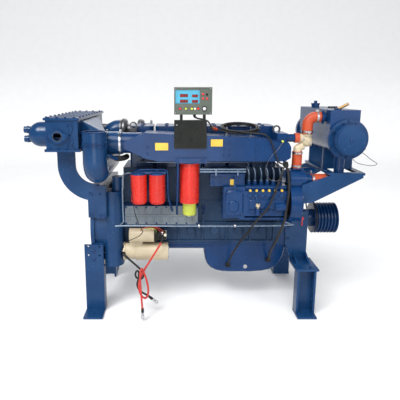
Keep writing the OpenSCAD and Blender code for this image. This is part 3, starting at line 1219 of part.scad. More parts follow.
// Injection pipes, one lane each, and the low pressure and skirt pipes
line_r = 3.5;
line_z = pump_z1 + pump_d;
function lane_y(i) = -deck_w / 2 - 2 * case_wall - 2.4 * line_r * (cyl_n - 1 - i);
module fuel_pipes() color("silver") {
    for (i = [0:cyl_n - 1]) sweep(rounded([
        [outlet_x(i), pump_c[0], pump_z1 + pump_d / 5 + 3 * gap], [outlet_x(i), pump_c[0], pump_z1 + pump_d / 2],
        [outlet_x(i), lane_y(i) - pump_d / 4, line_z], [outlet_x(i) - case_wall, lane_y(i), line_z],
        [cyl_x(i) + 3 * case_wall, lane_y(i), line_z], [cyl_x(i) + case_wall, -deck_w / 2 - case_wall, line_z],
        [cyl_x(i) + case_wall, -head_w / 2 - 3 * gap, line_z]
    ], 3), line_r);
    for (z = [-1, 1]) rod_x([fuel_c[0] + fuel_filter_d / 2, -manifold_y - case_wall / 2, fuel_top - 3 * case_wall + z * 2 * line_r],
        1.4 * line_r, pump_x0 - fuel_c[0] - fuel_filter_d / 2);
    for (x = [0.2, 1.2]) {
        c = [pump_x0 - (1.6 - x) * governor_l, -manifold_y - case_wall, pump_z1 + pump_d * 0.56 + gap];
        block(c, c + [2 * line_r, case_wall / 4, 11 * line_r]);
        block(c, c + [2 * line_r, 4 * case_wall, case_wall / 4]);
    }
    x0 = block_x0 + case_wall * 1.4;
    y = pump_c[0] - pump_d / 2 + 0.8 * case_wall;
    z = skirt_h * 0.4;
    sweep(rounded([
        [oil_filter_x[0] - oil_filter_d / 2 - 5 * gap, filter_y, filter_top + case_wall / 2],
        [x0 + 1.5 * case_wall, filter_y - case_wall, filter_top + case_wall / 2],
        [x0, y, filter_top - 2 * case_wall],
        [x0, y, z + 2 * case_wall], [x0 + 2 * case_wall, y, z],
        [pump_x1 - 2 * case_wall, y, z], [pump_x1 - case_wall, y, z + 2 * case_wall],
        [pump_x1 - case_wall, y, pump_z0 - pump_d / 6 - 2 * gap]
    ], 3), 1.3 * line_r);
}

// Starter motor with its solenoid, and the pinion that slides into the ring gear
nose_l = 0.4 * starter_l;
pinion_l = 24;
pinion_shaft_r = 9;
solenoid_c = starter_c + [-starter_d / 5, starter_d];
module starter_motor() color("wheat") {
    x = housing_l + gap;
    difference() {
        union() {
            rod_x([x, starter_c[0], starter_c[1]], starter_d * 0.45, nose_l);
            rod_x([x + nose_l, starter_c[0], starter_c[1]], starter_d / 2, starter_l);
            rod_x([x, starter_c[0], starter_c[1]], starter_d / 2, case_wall);
            rod_x([x + nose_l / 2, solenoid_c[0], solenoid_c[1]], solenoid_d / 2, starter_l * 0.77);
            rod_x([x + nose_l / 2 + over, solenoid_c[0], solenoid_c[1]], solenoid_d / 3, starter_l * 1.14);
            block([x + nose_l / 2, starter_c[0] - starter_d / 4, starter_c[1]],
                [x + starter_l * 0.6, starter_c[0], solenoid_c[1]]);
        }
        rod_x([x - over, starter_c[0], starter_c[1]], pinion_shaft_r + run_fit, nose_l * 0.9);
    }
}
module starter_pinion() color("silver") {
    x = wheel_x + flywheel_t + gap * 3;
    gear(x, starter_c, pinion_teeth, ring_m, mesh(0, ring_teeth, starter_dir, pinion_teeth), pinion_l,
        pinion_shaft_r + run_fit);
    rod_x([x - gap, starter_c[0], starter_c[1]], pinion_shaft_r, housing_l + nose_l * 0.8 - x);
}

// Alternator on the far side of the crank pulley, with its belt
alt_c = [0.74 * skirt_w, skirt_w * 0.65];
alt_pulley_r = 28;
belt_t = 10;
belt_w = 6.8;
belt_x = pulley_x + groove_pitch * 0.58 - belt_w / 2;
belt_r = pulley_d / 2 - groove_depth + gap;
module alternator() color("silver") {
    x0 = belt_x - belt_w - starter_d * 1.15;
    difference() {
        rod_x([x0, alt_c[0], alt_c[1]], starter_d * 0.58, starter_d * 0.95);
        rod_x([x0 + starter_d / 2, alt_c[0], alt_c[1]], water_shaft_r + run_fit, starter_d);
    }
    block([case_x1 + gap, alt_c[0] - case_wall, alt_c[1] - skirt_w / 6],
        [x0 + starter_d / 2, alt_c[0] + case_wall, alt_c[1] - skirt_w / 8]);
    block([case_x1 + gap, shelf_y1 + gap, skirt_h * 1.2], [case_x1 + case_wall, alt_c[0] + case_wall, alt_c[1]]);
}
module alternator_rotor() color("dimgray") {
    bush_x([belt_x - belt_w, alt_c[0], alt_c[1]], alt_pulley_r + belt_t * 0.8, water_shaft_r + run_fit, belt_w - gap);
    bush_x([belt_x - gap, alt_c[0], alt_c[1]], alt_pulley_r - gap, water_shaft_r + run_fit, belt_w + 2 * gap);
    bush_x([belt_x + belt_w + gap, alt_c[0], alt_c[1]], alt_pulley_r + belt_t * 0.8, water_shaft_r + run_fit, belt_w);
    rod_x([belt_x - starter_d / 2, alt_c[0], alt_c[1]], water_shaft_r, starter_d / 2 + 3 * belt_w);
}
module belt_loop(t) {
    lean = atan2(alt_c[1], alt_c[0]);
    wrap = acos((belt_r - alt_pulley_r) / norm(alt_c));
    low = 2 * (180 - wrap) / 48;
    top = 2 * wrap / 32;
    polygon([
        for (k = [0:48]) toward(lean + wrap + low * k, (belt_r + t) / cos(low / 2)),
        for (k = [0:32]) alt_c + toward(lean - wrap + top * k, (alt_pulley_r + t) / cos(top / 2))
    ]);
}
module drive_belt() color("black") {
    slab_x(belt_x, belt_w) difference() {
        belt_loop(belt_t);
        belt_loop(0);
    }
}

// Cock under the pump side of the timing case
cock_c = [case_x1, pump_c[0] - case_wall, pump_c[1] - gear_r(cam_teeth) - gear_room];
cock_r = 9;
module drain_cock() color("red") {
    c = cock_c + [3 * cock_r, 0, 0];
    rod_x(c - [cock_r, 0, 0], cock_r / 2, cock_r + over);
    rod_x(c, cock_r, cock_r);
    block(c + [0, -cock_r / 2, -5 * cock_r], c + [cock_r / 2, cock_r / 2, 0]);
}
eye_r = 24;
module lifting_eyes() color("dimgray") {
    for (e = [[cyl_x(0) - cyl_pitch / 3, 0.94 * cover_h], [cyl_x(5) + cyl_pitch / 2.1, 0.78 * cover_h]])
        slab_y(-cover_w / 2 - 2 * case_wall, case_wall) difference() {
            union() {
                translate([e[0], head_top + e[1] + eye_r / 2]) circle(eye_r);
                translate([e[0] - eye_r * 0.8, head_top + gap]) square([eye_r * 1.6, e[1] + eye_r / 2]);
            }
            translate([e[0], head_top + e[1] + eye_r / 2]) circle(eye_r * 0.6);
        }
}

// Instrument panel on its bracket, with its key and five buttons
panel_x = housing_l * 2.65;
plate_t = 4;
plate_w = 0.87 * panel_w;
panel_z = manifold_z0 + 1.63 * manifold_h;
button_r = 6.5;
button_z = panel_z + 0.22 * panel_h;
key_x = panel_x + 0.8 * panel_w;
button_x = [0.155, 0.31, 0.465, 0.55, 0.635];
module panel_bracket() color("black") {
    y = -manifold_y - 2 * plate_t;
    difference() {
        block([panel_x, y, manifold_z0 + 0.46 * manifold_h], [panel_x + plate_w, y + plate_t, panel_z - plate_w / 6]);
        rod_y([panel_x + plate_w / 12, y - over, panel_z - plate_w / 3.2], plate_t, plate_t + 2 * over);
    }
    block([panel_x, y, panel_z - plate_w / 6 - plate_t], [panel_x + plate_w, y + plate_w / 6, panel_z - plate_w / 6]);
    for (x = [0.19, 0.8]) block([panel_x + x * panel_w - 2 * plate_t, y, panel_z - plate_w / 6 - over],
        [panel_x + x * panel_w + 2 * plate_t, y + 4 * plate_t, panel_z - gap]);
}
module panel_box() color("gray") {
    y = -manifold_y - 2 * plate_t;
    difference() {
        block([panel_x, y, panel_z], [panel_x + panel_w, y + panel_d, panel_z + panel_h]);
        block([panel_x + plate_t, y - over, panel_z + 0.4 * panel_h],
            [panel_x + 0.68 * panel_w, y + plate_t, panel_z + 0.9 * panel_h]);
        for (x = button_x) rod_y([panel_x + x * panel_w, y - over, button_z], button_r + run_fit, 3 * plate_t);
        rod_y([key_x, y - over, button_z], 1.4 * button_r + run_fit, 3 * plate_t);
    }
}
module key_switch() color("silver") {
    y = -manifold_y - 3 * plate_t;
    rod_y([key_x, y, button_z], 1.4 * button_r, 3 * plate_t);
    block([key_x - plate_t / 4, y - 3 * plate_t, button_z - button_r], [key_x + plate_t / 4, y + over, button_z + button_r]);
}
module button(i, shade) color(shade) rod_y([panel_x + button_x[i] * panel_w, -manifold_y - 3 * plate_t, button_z],
    button_r, 3 * plate_t - button_travel);
module button_1() button(0, "red");
module button_2() button(1, "yellowgreen");
module button_3() button(2, "yellowgreen");
module button_4() button(3, "wheat");
module button_5() button(4, "red");

// Instrument cable: lead from the panel, four piled turns and the run to the loom
coil_c = [893, -200, 607];
coil_w = 232;
coil_h = 198;
coil_r = 4.5;
coil_lean = 12;
coil_start = 235;
coil_pitch = 2 * coil_r + 2;
coil_lift = 2 * coil_r + 1;
coil_turns = 4;
ring_count = 24;
coil_in = [
    [619, -296, 695], [620, -296, 682], [640, -296, 672], [668, -296, 668], [696, -296, 656],
    [710, -294, 634], [724, -284, 618], [748, -266, 608], [776, -257, 600], [802, -265, 594]
];
coil_out = [
    [860, -300, 602], [905, -312, 594], [955, -318, 590], [1002, -330, 588], [1030, -342, 572],
    [1048, -343, 545], [1070, -343, 491], [1086, -344, 446], [1104, -346, 424], [1123, -346, 420]
];
function climb(s) = let (t = max(0, min(1, 2 * (s - coil_turns / 2) + 1 / 2))) t * t * (3 - 2 * t);
function coil_point(s) = let (
    depth = coil_pitch * min(s, coil_turns - s),
    a = coil_start + 360 * s,
    v = (coil_h / 2 - depth) * sin(a),
    h = coil_lift * climb(s)
) coil_c + [
    (coil_w / 2 - depth) * cos(a),
    v * cos(coil_lean) - h * sin(coil_lean),
    v * sin(coil_lean) + h * cos(coil_lean)
];
coil_points = [for (k = [0:ring_count * coil_turns]) coil_point(k / ring_count)];
module instrument_coil() color("black")
    sweep(concat(rounded(coil_in, 2), coil_points, rounded(coil_out, 2)), coil_r, 6);
coil_gaps = [
    for (i = [0:len(coil_points) - 1], j = [i + ring_count / 2:len(coil_points) - 1])
        norm(coil_points[i] - coil_points[j]) - 2 * coil_r
];
echo(least_coil_gap = min(coil_gaps));

// Engine loom: a junction block under the manifold, its trunk and thin leads
trunk_r = 8;
lead_r = 3;
joint = [1124, -356, 404];
trunk = [
    [1137, -348, 404], [1148, -349, 380], [1157, -350, 320], [1159, -351, 235], [1150, -354, 160],
    [1140, -355, 90], [1118, -346, 10], [1104, -296, -70], [1100, -220, -150], [1102, -172, -215], [1104, -150, -235]
];
lead_a = [
    [1125, -350, 404], [1108, -350, 330], [1078, -350, 240], [1040, -362, 160], [972, -362, 78], [940, -350, 20],
    [900, -300, -60], [862, -220, -180], [850, -160, -260], [850, -148, -270]
];
ring_lead = [
    [1112, -334, 548], [1110, -348, 541], [1083, -354, 503], [1043, -354, 456], [1022, -352, 400], [1028, -350, 356],
    [1050, -348, 330], [1079, -348, 321], [1106, -348, 332], [1116, -352, 370], [1128, -354, 404]
];
module harness() color("black") {
    block(joint, joint + [5 * lead_r + trunk_r, 4 * trunk_r + lead_r, manifold_z0 - joint[2] - gap]);
    sweep(rounded(trunk, 2), trunk_r);
    for (s = [0, 1]) sweep([for (p = rounded(lead_a, 1)) p - [2.4 * lead_r * s, 0, 0]], lead_r);
    sweep(ring_lead, lead_r / 2);
    // Plugs on the pan
    for (p = [trunk[10], lead_a[9] - [lead_r, 0, 0]]) block(p - [2 * trunk_r, 0, 2 * trunk_r],
        [p[0] + 2 * trunk_r, 2 * pan_wall - skirt_w / 2 - gap, p[2] + trunk_r]);
}

// Battery cables that hang free, with their ring lugs
cable_r = 6;
lug_l = 30;
red_route = [
    [434, -255, -44], [433, -265, -47], [424, -276, -74], [390, -290, -130], [350, -306, -190], [318, -320, -240], [296, -330, -290],
    [292, -338, -340], [306, -346, -382], [330, -352, -396], [346, -356, -370], [348, -360, -324],
    [338, -360, -270], [322, -356, -226], [312, -360, -206], [304, -372, -226], [304, -380, -280],
    [308, -386, -340], [312, -392, -400], [316, -396, -460]
];
black_route = [
    [196, -261, -150], [197, -272, -152], [226, -284, -174], [262, -286, -206], [300, -286, -244], [316, -284, -276],
    [304, -278, -304], [280, -272, -308], [264, -266, -290], [270, -260, -266], [284, -258, -270],
    [284, -264, -306], [276, -280, -346], [294, -290, -380], [340, -294, -408], [366, -296, -428]
];
module lug(p, turn) translate(p) rotate(turn) {
    cylinder(r = 1.3 * cable_r, h = lug_l);
    translate([0, cable_r / 3, lug_l + cable_r]) rotate([90, 0, 0]) difference() {
        cylinder(r = 1.9 * cable_r, h = cable_r / 2);
        translate([0, 0, -over]) cylinder(r = 0.9 * cable_r, h = cable_r);
    }
}
module red_cable() color("firebrick") {
    sweep(rounded(red_route, 2), cable_r);
    lug(red_route[19], [180, 0, 0]);
}
module black_cable() color("black") {
    sweep(rounded(black_route, 2), cable_r);
    lug(black_route[15], [0, 128, 0]);
}

engine_block();
cylinder_heads();
rocker_covers();
valve_gear();
pistons();
connecting_rods();
crankshaft();
camshaft();
timing_case();
oil_pan();
dipstick();
flywheel();
flywheel_housing();
crank_pulley();
legs();
front_supports();
intake_manifold();
exhaust_manifold();
turbo_housing();
turbo_rotor();
intercooler();
charge_hose();
air_elbow();
cooler_bracket();
exchanger();
exchanger_caps();
filler_cap();
shelf_bracket();
coolant_hoses();
hose_clamps();
thermostat_housing();
coolant_pump();
coolant_rotor();
oil_filters();
fuel_filter();
filter_heads();
primer();
injection_pump();
pump_shaft();
throttle_lever();
fuel_pipes();
starter_motor();
starter_pinion();
alternator();
alternator_rotor();
drive_belt();
drain_cock();
lifting_eyes();
panel_bracket();
panel_box();
key_switch();
button_1();
button_2();
button_3();
button_4();
button_5();
instrument_coil();
harness();
red_cable();
black_cable();
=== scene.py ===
"""Looks of a marine diesel engine on four legs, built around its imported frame.

Lengths in the tables are in millimetres and become metres when a piece is made.
+X runs along the crankshaft to the pulleys, +Z is up and -Y is the photographed side.
"""

import logging
from dataclasses import dataclass
from enum import Enum
from typing import Iterable, Sequence

import bpy
import numpy as np
from mathutils import Matrix

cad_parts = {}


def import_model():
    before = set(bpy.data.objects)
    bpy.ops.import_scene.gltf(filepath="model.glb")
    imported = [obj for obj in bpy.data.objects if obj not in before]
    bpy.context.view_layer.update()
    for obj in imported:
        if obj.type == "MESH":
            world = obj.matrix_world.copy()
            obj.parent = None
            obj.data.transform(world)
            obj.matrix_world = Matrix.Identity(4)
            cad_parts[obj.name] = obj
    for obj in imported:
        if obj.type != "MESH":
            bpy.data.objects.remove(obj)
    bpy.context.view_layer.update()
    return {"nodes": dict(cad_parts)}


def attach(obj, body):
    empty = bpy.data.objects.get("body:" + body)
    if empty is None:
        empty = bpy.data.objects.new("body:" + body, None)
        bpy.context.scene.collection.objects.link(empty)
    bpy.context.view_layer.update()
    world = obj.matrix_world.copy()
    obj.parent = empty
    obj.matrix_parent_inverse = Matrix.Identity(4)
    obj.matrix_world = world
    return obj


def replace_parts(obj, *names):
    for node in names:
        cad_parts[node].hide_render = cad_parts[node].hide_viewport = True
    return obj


log = logging.getLogger("engine")
MM = 0.001
X, Y, Z = (1, 0, 0), (0, 1, 0), (0, 0, 1)
BACK_X, NEAR, DOWN = (-1, 0, 0), (0, -1, 0), (0, 0, -1)
Vec = Sequence[float]
Point, Pair = tuple[float, float, float], tuple[float, float]
Tree, Socket, Thing = bpy.types.NodeTree, bpy.types.NodeSocket, bpy.types.Object
CYLINDERS = (305, 455, 605, 755, 905, 1055)
SHARP_ANGLE = 0.6  # Radians.
RING_SIDES = 48
CORD_SIDES = 14
JACKET_PITCH = 6.0
BARS = {"top": (0, 0.5, True), "mid": (0, 0, True), "low": (0, -0.5, True), "ul": (-0.5, 0.25, False),
        "ur": (0.5, 0.25, False), "ll": (-0.5, -0.25, False), "lr": (0.5, -0.25, False)}
DIGITS = ("top low ul ur ll lr", "top mid low ul ur ll lr", "top mid low ur lr", "top mid low ul lr")
DUST_TONE = (0.42, 0.44, 0.46, 1)
COAT_ROUGHNESS = 0.2
BUMP_DEPTH = 0.0008  # Metres.
PATCH_SPAN, DUST_SPAN, ROUGH_SPAN = (0.38, 0.62), (0.52, 0.75), (0.3, 0.7)


class Slot(Enum):
    """Material slots of the record."""

    MARINE = "marine_blue"
    PALE = "pale_blue"
    GREY = "cast_grey"
    STEEL = "steel"
    DARK = "dark_steel"
    ALLOY = "aluminium_cast"
    RED = "filter_red"
    ORANGE = "hose_orange"
    CREAM = "cream"
    BLACK = "black_paint"
    PANEL = "panel_grey"
    RUBBER = "black_rubber"
    CABLE = "cable_red"
    BRASS = "brass"
    BUTTON_RED = "button_red"
    BUTTON_GREEN = "button_green"
    BUTTON_CREAM = "button_cream"


def put(node: bpy.types.Node, values: dict) -> bpy.types.Node:
    """Set the inputs of a node.

    Args:
        node: The node.
        values: What each input gets, by its name or number.

    Returns:
        The node itself.
    """
    for key, value in values.items():
        node.inputs[key].default_value = value
    return node


def linked(name: str, data: bpy.types.ID) -> Thing:
    """Put new data into the scene as an object.

    Args:
        name: Name of the object.
        data: Its mesh, lamp or camera.

    Returns:
        The object.
    """
    thing = bpy.data.objects.new(name, data)
    bpy.context.collection.objects.link(thing)
    return thing


@dataclass(frozen=True)
class Finish:
    """One surface finish, mixed from noise on object coordinates.

    base and second are mixed in wide patches, dust settles in middle-sized spots, and fine grain
    gives the bump. rough holds the least and greatest roughness, shine the mirror share.
    """

    name: str
    slot: Slot
    base: Point
    second: Point
    rough: Pair = (0.35, 0.55)
    metal: float = 0.0
    grain: float = 900.0
    relief: float = 0.12
    patch: float = 7.0
    dust: float = 0.12
    coat: float = 0.0
    shine: float = 0.5

    def material(self) -> bpy.types.Material:
        """Make the node material of this finish, or find it when it is made already.

        Returns:
            The material.
        """
        made = bpy.data.materials.get(self.name)
        if made:
            return made
        made = bpy.data.materials.new(self.name)
        made.use_nodes = True
        tree = made.node_tree
        link = tree.links.new
        shader = put(tree.nodes["Principled BSDF"], {
            "Metallic": self.metal, "Specular IOR Level": self.shine, "Coat Weight": self.coat,
            "Coat Roughness": COAT_ROUGHNESS})
        place = tree.nodes.new("ShaderNodeTexCoord")
        wide = self._noise(tree, place, self.patch, 3.0)
        spots = self._noise(tree, place, self.patch * 9, 5.0)
        fine = self._noise(tree, place, self.grain, 4.0)
        tone = self._blend(tree, self._span(tree, wide, PATCH_SPAN, (0.0, 1.0)))
        put(tone, {6: (*self.base, 1), 7: (*self.second, 1)})
        worn = self._blend(tree, self._span(tree, spots, DUST_SPAN, (0.0, self.dust)))
        put(worn, {7: DUST_TONE})
        link(tone.outputs[2], worn.inputs[6])
        link(worn.outputs[2], shader.inputs["Base Color"])
        link(self._span(tree, spots, ROUGH_SPAN, self.rough), shader.inputs["Roughness"])
        bump = put(tree.nodes.new("ShaderNodeBump"), {"Strength": self.relief, "Distance": BUMP_DEPTH})
        link(fine, bump.inputs["Height"])
        link(bump.outputs["Normal"], shader.inputs["Normal"])
        return made

    @staticmethod
    def _noise(tree: Tree, place: bpy.types.Node, scale: float, detail: float) -> Socket:
        """Add a noise.

        Args:
            tree: Node tree of the material.
            place: Node that gives the object coordinates.
            scale: Scale per metre.
            detail: Octaves.

        Returns:
            The noise's value.
        """
        node = put(tree.nodes.new("ShaderNodeTexNoise"), {"Scale": scale, "Detail": detail})
        tree.links.new(place.outputs["Object"], node.inputs["Vector"])
        return node.outputs[0]

    @staticmethod
    def _span(tree: Tree, value: Socket, given: Vec, wanted: Vec) -> Socket:
        """Carry a value from one range over to another.

        Args:
            tree: Node tree of the material.
            value: The value.
            given: Range that it has.
            wanted: Range that it gets.

        Returns:
            The carried value.
        """
        names = ("From Min", "From Max", "To Min", "To Max")
        node = put(tree.nodes.new("ShaderNodeMapRange"), dict(zip(names, (*given, *wanted))))
        tree.links.new(value, node.inputs["Value"])
        return node.outputs["Result"]

    @staticmethod
    def _blend(tree: Tree, share: Socket) -> bpy.types.Node:
        """Add a mix of two colours.

        Args:
            tree: Node tree of the material.
            share: Share of the second colour.

        Returns:
            The mix, with inputs 6 and 7 for the colours and output 2 for what they give.
        """
        node = tree.nodes.new("ShaderNodeMix")
        node.data_type = "RGBA"
        tree.links.new(share, node.inputs[0])
        return node


PAINT = Finish("deep blue paint", Slot.MARINE, (0.002, 0.027, 0.102), (0.004, 0.035, 0.124),
    (0.2, 0.28), grain=300, relief=0.02, dust=0.006, shine=0.27)
PALE = Finish("light blue paint", Slot.PALE, (0.005, 0.036, 0.112), (0.009, 0.046, 0.134),
    (0.2, 0.28), grain=300, relief=0.02, dust=0.008, shine=0.27)
GREY = Finish("cast iron grey blue", Slot.GREY, (0.008, 0.032, 0.082), (0.014, 0.042, 0.1),
    (0.34, 0.46), grain=260, relief=0.12, dust=0.03, shine=0.22)
STEEL = Finish("bright steel", Slot.STEEL, (0.55, 0.55, 0.56), (0.42, 0.42, 0.44), (0.22, 0.42), 1.0)
DARK = Finish("oiled steel", Slot.DARK, (0.16, 0.16, 0.17), (0.1, 0.1, 0.11), (0.3, 0.5), 0.9)
ALLOY = Finish("raw cast alloy", Slot.ALLOY, (0.5, 0.5, 0.48), (0.38, 0.38, 0.37), (0.4, 0.6), 0.8, 500, 0.4)
RED = Finish("filter red paint", Slot.RED, (0.6, 0.025, 0.015), (0.5, 0.018, 0.012),
    (0.24, 0.32), grain=300, relief=0.02, dust=0.005, shine=0.35)
ORANGE = Finish("orange hose rubber", Slot.ORANGE, (0.5, 0.065, 0.012), (0.4, 0.045, 0.01),
    (0.4, 0.58), relief=0.35, dust=0.05)
CREAM = Finish("cream paint", Slot.CREAM, (0.56, 0.47, 0.32), (0.44, 0.37, 0.25),
    (0.32, 0.45), grain=300, relief=0.06, dust=0.04)
BLACK = Finish("satin black paint", Slot.BLACK, (0.008, 0.009, 0.008), (0.013, 0.014, 0.012),
    (0.4, 0.55), grain=300, relief=0.08, dust=0.02, shine=0.2)
PANEL = Finish("grey green panel paint", Slot.PANEL, (0.075, 0.092, 0.074), (0.095, 0.112, 0.092),
    (0.35, 0.5), relief=0.2, dust=0.06)
RUBBER = Finish("black cable rubber", Slot.RUBBER, (0.009, 0.009, 0.01), (0.015, 0.015, 0.016),
    (0.4, 0.55), relief=0.15, dust=0.02, shine=0.3)
CABLE_RED = Finish("red cable rubber", Slot.CABLE, (0.5, 0.028, 0.02), (0.4, 0.02, 0.015),
    (0.35, 0.5), relief=0.25, dust=0.04)
BRASS = Finish("warm brass", Slot.BRASS, (0.42, 0.26, 0.11), (0.3, 0.18, 0.075), (0.25, 0.42), 1.0, dust=0.05)
B_RED = Finish("red button plastic", Slot.BUTTON_RED, (0.6, 0.02, 0.02), (0.5, 0.015, 0.015),
    (0.2, 0.3), dust=0.02)
B_GREEN = Finish("yellow green plastic", Slot.BUTTON_GREEN, (0.5, 0.55, 0.06), (0.42, 0.48, 0.05),
    (0.22, 0.34), dust=0.03)
B_CREAM = Finish("cream plastic", Slot.BUTTON_CREAM, (0.75, 0.7, 0.55), (0.66, 0.6, 0.46),
    (0.25, 0.4), dust=0.03)
PLATE = Finish("blank yellow plate", Slot.BUTTON_CREAM, (0.72, 0.48, 0.05), (0.62, 0.4, 0.04),
    (0.3, 0.42), dust=0.08)
SCREEN = Finish("cyan blue panel face", Slot.PALE, (0.03, 0.27, 0.42), (0.04, 0.32, 0.48),
    (0.15, 0.25), dust=0.03)
DIGIT = Finish("red digit bars", Slot.BUTTON_RED, (0.8, 0.03, 0.02), (0.7, 0.02, 0.02), (0.2, 0.3), dust=0.0)
BARE_CAST = Finish("bare grey casting", Slot.GREY, (0.17, 0.2, 0.22), (0.11, 0.14, 0.17),
    (0.4, 0.6), grain=420, relief=0.6)
PIPE = Finish("painted steel pipe", Slot.STEEL, (0.1, 0.15, 0.23), (0.14, 0.19, 0.26),
    (0.2, 0.35), 0.35, coat=0.4, relief=0.05)
SLOT_FINISHES = {f.slot.value: f for f in (
    PAINT, PALE, GREY, STEEL, DARK, ALLOY, RED, ORANGE, CREAM, BLACK, PANEL, RUBBER, CABLE_RED, BRASS, B_RED,
    B_GREEN, B_CREAM)}
NODE_FINISHES = {
    "injection_pump": PAINT, "throttle_lever": PAINT, "fuel_pipes": PIPE, "dipstick": PAINT, "turbo_housing": DARK}


def unit(v: np.ndarray) -> np.ndarray:
    """Scale vectors to length one, along their last axis."""
    return v / np.linalg.norm(v, axis=-1, keepdims=True)


def basis(axis: Vec) -> tuple[np.ndarray, np.ndarray, np.ndarray]:
    """Find two sides square to an axis: one is up cross the axis, the other the axis cross that.

    Args:
        axis: Direction of any length.

    Returns:
        Two unit sides and the unit axis, as a right-handed set.
    """
    w = unit(np.array(axis, float))
    u = unit(np.cross((0, 0, 1) if abs(w[2]) < 0.9 else (0, 1, 0), w))
    return u, np.cross(w, u), w


def eased(points: Sequence[Vec], steps: int) -> np.ndarray:
    """Round a route of points with the cubic that passes through each of them.

    Between b and c the slope at each end is half the way between that end's two neighbours.

    Args:
        points: Route in millimetres.
        steps: Stretches between two points.

    Returns:
        The rounded route, n by 3.
    """
    p = np.array(points, float)
    i = np.repeat(np.arange(len(p) - 1), steps)
    t = np.tile(np.arange(steps) / steps, len(p) - 1)[:, None]
    a, b, c, d = p[np.maximum(i - 1, 0)], p[i], p[i + 1], p[np.minimum(i + 2, len(p) - 1)]
    line = 0.5 * (2 * b + (c - a) * t + (2 * a - 5 * b + 4 * c - d) * t**2 + (3 * b - a - 3 * c + d) * t**3)
    return np.vstack([line, p[-1:]])


def reach_of(path: np.ndarray) -> np.ndarray:
    """Distance along a route at each of its points, the running sum of its stretches."""
    return np.concatenate([[0], np.cumsum(np.linalg.norm(np.diff(path, axis=0), axis=1))])


def around(centre: Vec, radius: float, degrees: np.ndarray, axis: Vec) -> list[Vec]:
    """Places on a circle square to X or Y, counted from the circle's first side.

    Args:
        centre: Middle of the circle.
        radius: Its radius.
        degrees: Angle of each place.
        axis: X or the way of Y that the circle is square to.

    Returns:
        The places.
    """
    x, y, z = centre
    turn = zip(np.cos(np.radians(degrees)), np.sin(np.radians(degrees)))
    if axis[0]:
        return [(x, y + radius * c, z + radius * s) for c, s in turn]
    return [(x + radius * c, y, z + radius * s) for c, s in turn]


def tube(path: np.ndarray, radius: float | np.ndarray, sides: int = 16) -> np.ndarray:
    """Carry a circle along a route, its sides turned as little as the route allows.

    A ring point is p + r (cos a side + sin a other), with side and other square to the route.

    Args:
        path: Route, n by 3.
        radius: One radius, or one for each point.
        sides: Points of a ring.

    Returns:
        Rings, n by sides by 3.
    """
    way = unit(np.gradient(path, axis=0))
    side = np.empty_like(path)
    side[0] = basis(way[0])[0]
    for k in range(1, len(path)):
        side[k] = side[k - 1] - way[k] * (side[k - 1] @ way[k])
        side[k] /= np.linalg.norm(side[k])
    a = np.linspace(0, 2 * np.pi, sides, endpoint=False)[None, :, None]
    r = np.broadcast_to(radius, len(path)).reshape(-1, 1, 1)
    return path[:, None] + r * (np.cos(a) * side[:, None] + np.sin(a) * np.cross(way, side)[:, None])


def turned(profile: Sequence[Vec], at: Vec, axis: Vec, sides: int = 40) -> np.ndarray:
    """Turn a profile round an axis, as on a lathe.

    A ring point is at + distance times axis + radius (cos a first side + sin a second side).

    Args:
        profile: Pairs of distance along the axis and radius.
        at: Point on the axis where the distance is nought.
        axis: Direction of the axis.
        sides: Points of a ring.

    Returns:
        Rings, one for each pair.
    """
    u, v, w = basis(axis)
    p = np.array(profile, float)
    a = np.linspace(0, 2 * np.pi, sides, endpoint=False)[None, :, None]
    return np.array(at, float) + p[:, :1, None] * w + p[:, 1:, None] * (np.cos(a) * u + np.sin(a) * v)


def rounded_box(w: float, h: float, r: float, steps: int = 5) -> np.ndarray:
    """Outline of a rectangle about nought with round corners, counter-clockwise.

    Each corner point is the corner's centre + r (cos a, sin a), a quarter turn to a corner.

    Args:
        w: Width.
        h: Height.
        r: Radius of the corners.
        steps: Points of a corner.

    Returns:
        The outline, n by 2.
    """
    a = np.linspace(0, np.pi / 2, steps)
    corners = [(w / 2 - r, h / 2 - r), (r - w / 2, h / 2 - r), (r - w / 2, r - h / 2), (w / 2 - r, r - h / 2)]
    return np.vstack([np.stack([x + r * np.cos(a + k * np.pi / 2), y + r * np.sin(a + k * np.pi / 2)], 1)
                      for k, (x, y) in enumerate(corners)])


def placed(flats: Sequence[tuple[np.ndarray, float]], at: Vec, u: Vec, v: Vec) -> np.ndarray:
    """Place flat outlines in space: a point is at + its x times u + its y times v + its height times u cross v.

    Args:
        flats: Outlines, each with its height.
        at: Where their nought lies.
        u: Direction of their first axis.
        v: Direction of their second axis.

    Returns:
        Rings, one for each outline.
    """
    u, v = np.array(u, float), np.array(v, float)
    w = np.cross(u, v)
    return np.stack([np.array(at, float) + o[:, :1] * u + o[:, 1:] * v + z * w for o, z in flats])


def slab(outline: np.ndarray, at: Vec, u: Vec, v: Vec, thick: float, edge: float = 0.6) -> np.ndarray:
    """Raise an outline into a plate whose two rims are broken by a small edge.

    Args:
        outline: Closed outline, n by 2.
        at: Where its nought lies.
        u: Direction of its first axis.
        v: Direction of its second axis.
        thick: Height along u cross v.
        edge: Width of the broken rim.

    Returns:
        Four rings.
    """
    half = np.abs(outline).max(axis=0)
    small = outline * (half - edge) / half
    return placed([(small, 0.0), (outline, edge), (outline, thick - edge), (small, thick)], at, u, v)


def rim(outer: np.ndarray, inner: np.ndarray, at: Vec, u: Vec, v: Vec, thick: float) -> np.ndarray:
    """Section of a flat frame between two outlines, to be closed both ways."""
    return placed([(outer, 0.0), (outer * 0.997, thick), (inner * 1.003, thick), (inner, 0.0)], at, u, v)


